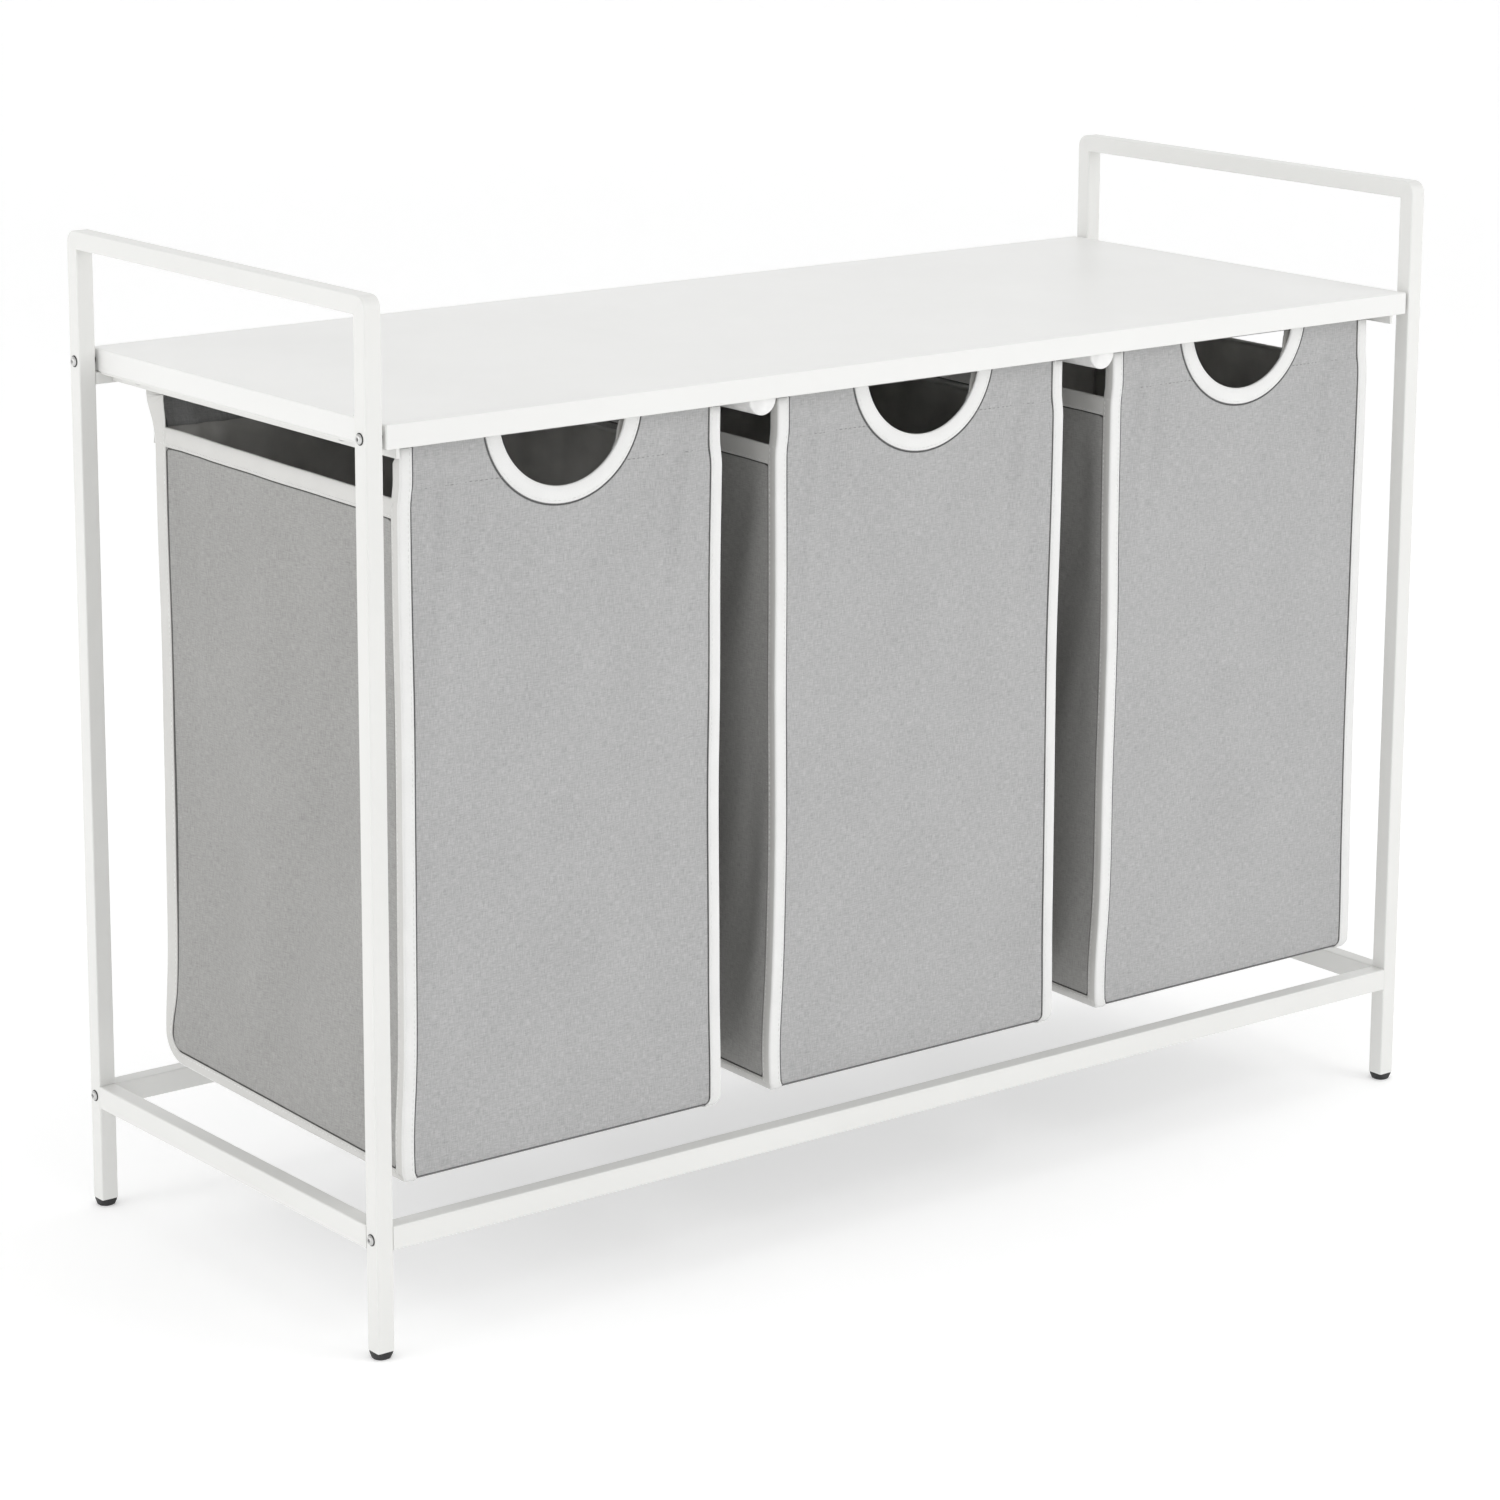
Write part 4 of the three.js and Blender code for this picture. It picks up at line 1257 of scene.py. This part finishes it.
class SORTER_OT_binding(Operator):
    """Folds the white tape over the side seams, the side hems and the hand holes."""

    bl_idname = "sorter.binding"
    bl_label = "Bind Seams"

    def execute(self, context):
        tape, side_tape = finish_named("white_binding_tape"), finish_named("shaded_white_side_tape")
        for shape in shapes():
            made = [bind_seam(shape, side, tape, side_tape) for side in SIDE_WORDS]
            # Painted shade: the hems on the side panels take the darker side tape finish.
            made += [hem_side(shape, side, side_tape) for side in SIDE_WORDS]
            made.append(trim_hole(shape, tape))
            for part in made:
                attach(part, shape.bag)
        return {"FINISHED"}


class SORTER_OT_stitches(Operator):
    """Runs the lines of stitches along the tapes and the sleeves."""

    bl_idname = "sorter.stitches"
    bl_label = "Run Stitches"

    def execute(self, context):
        s = cloth_settings()
        tree = stitch_tree()
        for shape in shapes():
            for word, lines, thread in (
                ("tape", seam_lines(shape), "white_thread"),
                ("sleeve", sleeve_lines(shape), "grey_thread"),
            ):
                source = lines_object(f"{shape.bag}_{word}_lines", lines)
                values = {
                    "Length": s.stitch_length,
                    "Pitch": s.stitch_pitch,
                    "Thread": s.thread_radius,
                    "Material": finish_named(thread),
                }
                made = run_tree(f"{shape.bag}_{word}_stitches", tree, source, values)
                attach(made, shape.bag)
        return {"FINISHED"}


class SORTER_OT_stage(Operator):
    """Lays the pale floor and sets the soft lights and the camera."""

    bl_idname = "sorter.stage"
    bl_label = "Set Stage"

    def execute(self, context):
        s = context.scene.sorter_stage
        floor = studio_floor(s.floor_colour)
        sky = bpy.data.worlds.new("studio_sky")
        sky.use_nodes = True
        light = sky.node_tree.nodes["Background"]
        light.inputs["Color"].default_value = (1, 1, 1, 1)
        light.inputs["Strength"].default_value = s.sky
        context.scene.world = sky
        context.scene.view_settings.view_transform = "Standard"
        soft_light("front_light", (1.8, -2.9, 2.0), (0, 0, 0.35), 2.4, s.key)
        soft_light("top_light", (0.3, -0.2, 3.2), (0, 0, 0.4), 2.8, s.key * 0.73)
        soft_light("left_light", (-3.0, 0.4, 1.5), (0, 0, 0.35), 2.0, s.key * 0.62)
        set_camera(s.lens)
        return {"FINISHED"}


def studio_floor(colour):
    """A round floor that curves up into a wall far away on every side."""
    paint = Finish("studio_floor", colour, 0.9)
    paint.shade(paint.grain(paint.place("Object"), 0.4, 2), 0.995, 1.0)
    paint.shader.inputs["Emission Color"].default_value = (1, 1, 1, 1)
    paint.shader.inputs["Emission Strength"].default_value = 0.26
    line = [(2.0, 0.0), (4.0, 0.0)]
    line += [(6 + 3 * math.sin(a), 3 - 3 * math.cos(a)) for a in np.linspace(0, math.pi / 2, 12)]
    line.append((9.0, 7.0))
    around = 64  # points round each ring
    points, faces = [(0, 0, 0)], [(0, 1 + k, 1 + (k + 1) % around) for k in range(around)]
    for reach, z in line:
        for turn in np.linspace(0, 2 * math.pi, around, endpoint=False):
            points.append((reach * math.cos(turn), reach * math.sin(turn), z))
    for i in range(len(line) - 1):
        a, b = 1 + i * around, 1 + (i + 1) * around
        faces += [(a + k, b + k, b + (k + 1) % around, a + (k + 1) % around) for k in range(around)]
    return piece("studio_floor", points, faces, (paint.made,))


def soft_light(name, place, target, size, power):
    """A round soft light at a place, aimed at a target."""
    data = bpy.data.lights.new(name, "AREA")
    data.shape = "DISK"
    data.size = size
    data.energy = power
    made = bpy.data.objects.new(name, data)
    made.location = place
    made.rotation_euler = (Vector(target) - Vector(place)).to_track_quat("-Z", "Y").to_euler()
    bpy.context.scene.collection.objects.link(made)


def set_camera(lens):
    """Stands the camera at the front left, a little above the shelf."""
    data = bpy.data.cameras.new("camera")
    data.lens = lens
    data.shift_y = -0.12
    data.clip_end = 100
    made = bpy.data.objects.new("camera", data)
    yaw, pitch, roll = (math.radians(a) for a in CAMERA_TURN)
    level = math.cos(pitch)
    forward = Vector((math.sin(yaw) * level, math.cos(yaw) * level, -math.sin(pitch)))
    right = Vector((math.cos(yaw), -math.sin(yaw), 0))
    up = right.cross(forward)
    across = right * math.cos(roll) + up * math.sin(roll)
    upright = up * math.cos(roll) - right * math.sin(roll)
    turned = Matrix((across, upright, -forward)).transposed().to_4x4()
    made.matrix_world = Matrix.Translation(CAMERA_PLACE) @ turned
    bpy.context.scene.collection.objects.link(made)
    bpy.context.scene.camera = made


STEPS = (
    SORTER_OT_finishes,
    SORTER_OT_frame,
    SORTER_OT_bolts,
    SORTER_OT_feet,
    SORTER_OT_cloth,
    SORTER_OT_base_boards,
    SORTER_OT_binding,
    SORTER_OT_stitches,
    SORTER_OT_stage,
)


class SORTER_PT_panel(Panel):
    """Lists the steps that finish the sorter, and its settings."""

    bl_idname = "SORTER_PT_panel"
    bl_label = "Laundry Sorter"
    bl_space_type = "VIEW_3D"
    bl_region_type = "UI"
    bl_category = "Sorter"

    def draw(self, context):
        for step in STEPS:
            self.layout.operator(step.bl_idname)
        for name in ("sorter_cloth", "sorter_frame", "sorter_stage"):
            settings = getattr(context.scene, name)
            for key in settings.__annotations__:
                self.layout.prop(settings, key)


CLASSES = (ClothSettings, FrameSettings, StageSettings, *STEPS, SORTER_PT_panel)


def register():
    """Adds the steps, the panel and the settings."""
    for made in CLASSES:
        bpy.utils.register_class(made)
    bpy.types.Scene.sorter_cloth = PointerProperty(type=ClothSettings)
    bpy.types.Scene.sorter_frame = PointerProperty(type=FrameSettings)
    bpy.types.Scene.sorter_stage = PointerProperty(type=StageSettings)


def unregister():
    """Takes away what register adds."""
    del bpy.types.Scene.sorter_stage
    del bpy.types.Scene.sorter_frame
    del bpy.types.Scene.sorter_cloth
    for made in reversed(CLASSES):
        bpy.utils.unregister_class(made)


def main():
    """Runs every step in order."""
    register()
    for step in STEPS:
        group, name = step.bl_idname.split(".")
        getattr(getattr(bpy.ops, group), name)()


if __name__ == "__main__":
    main()
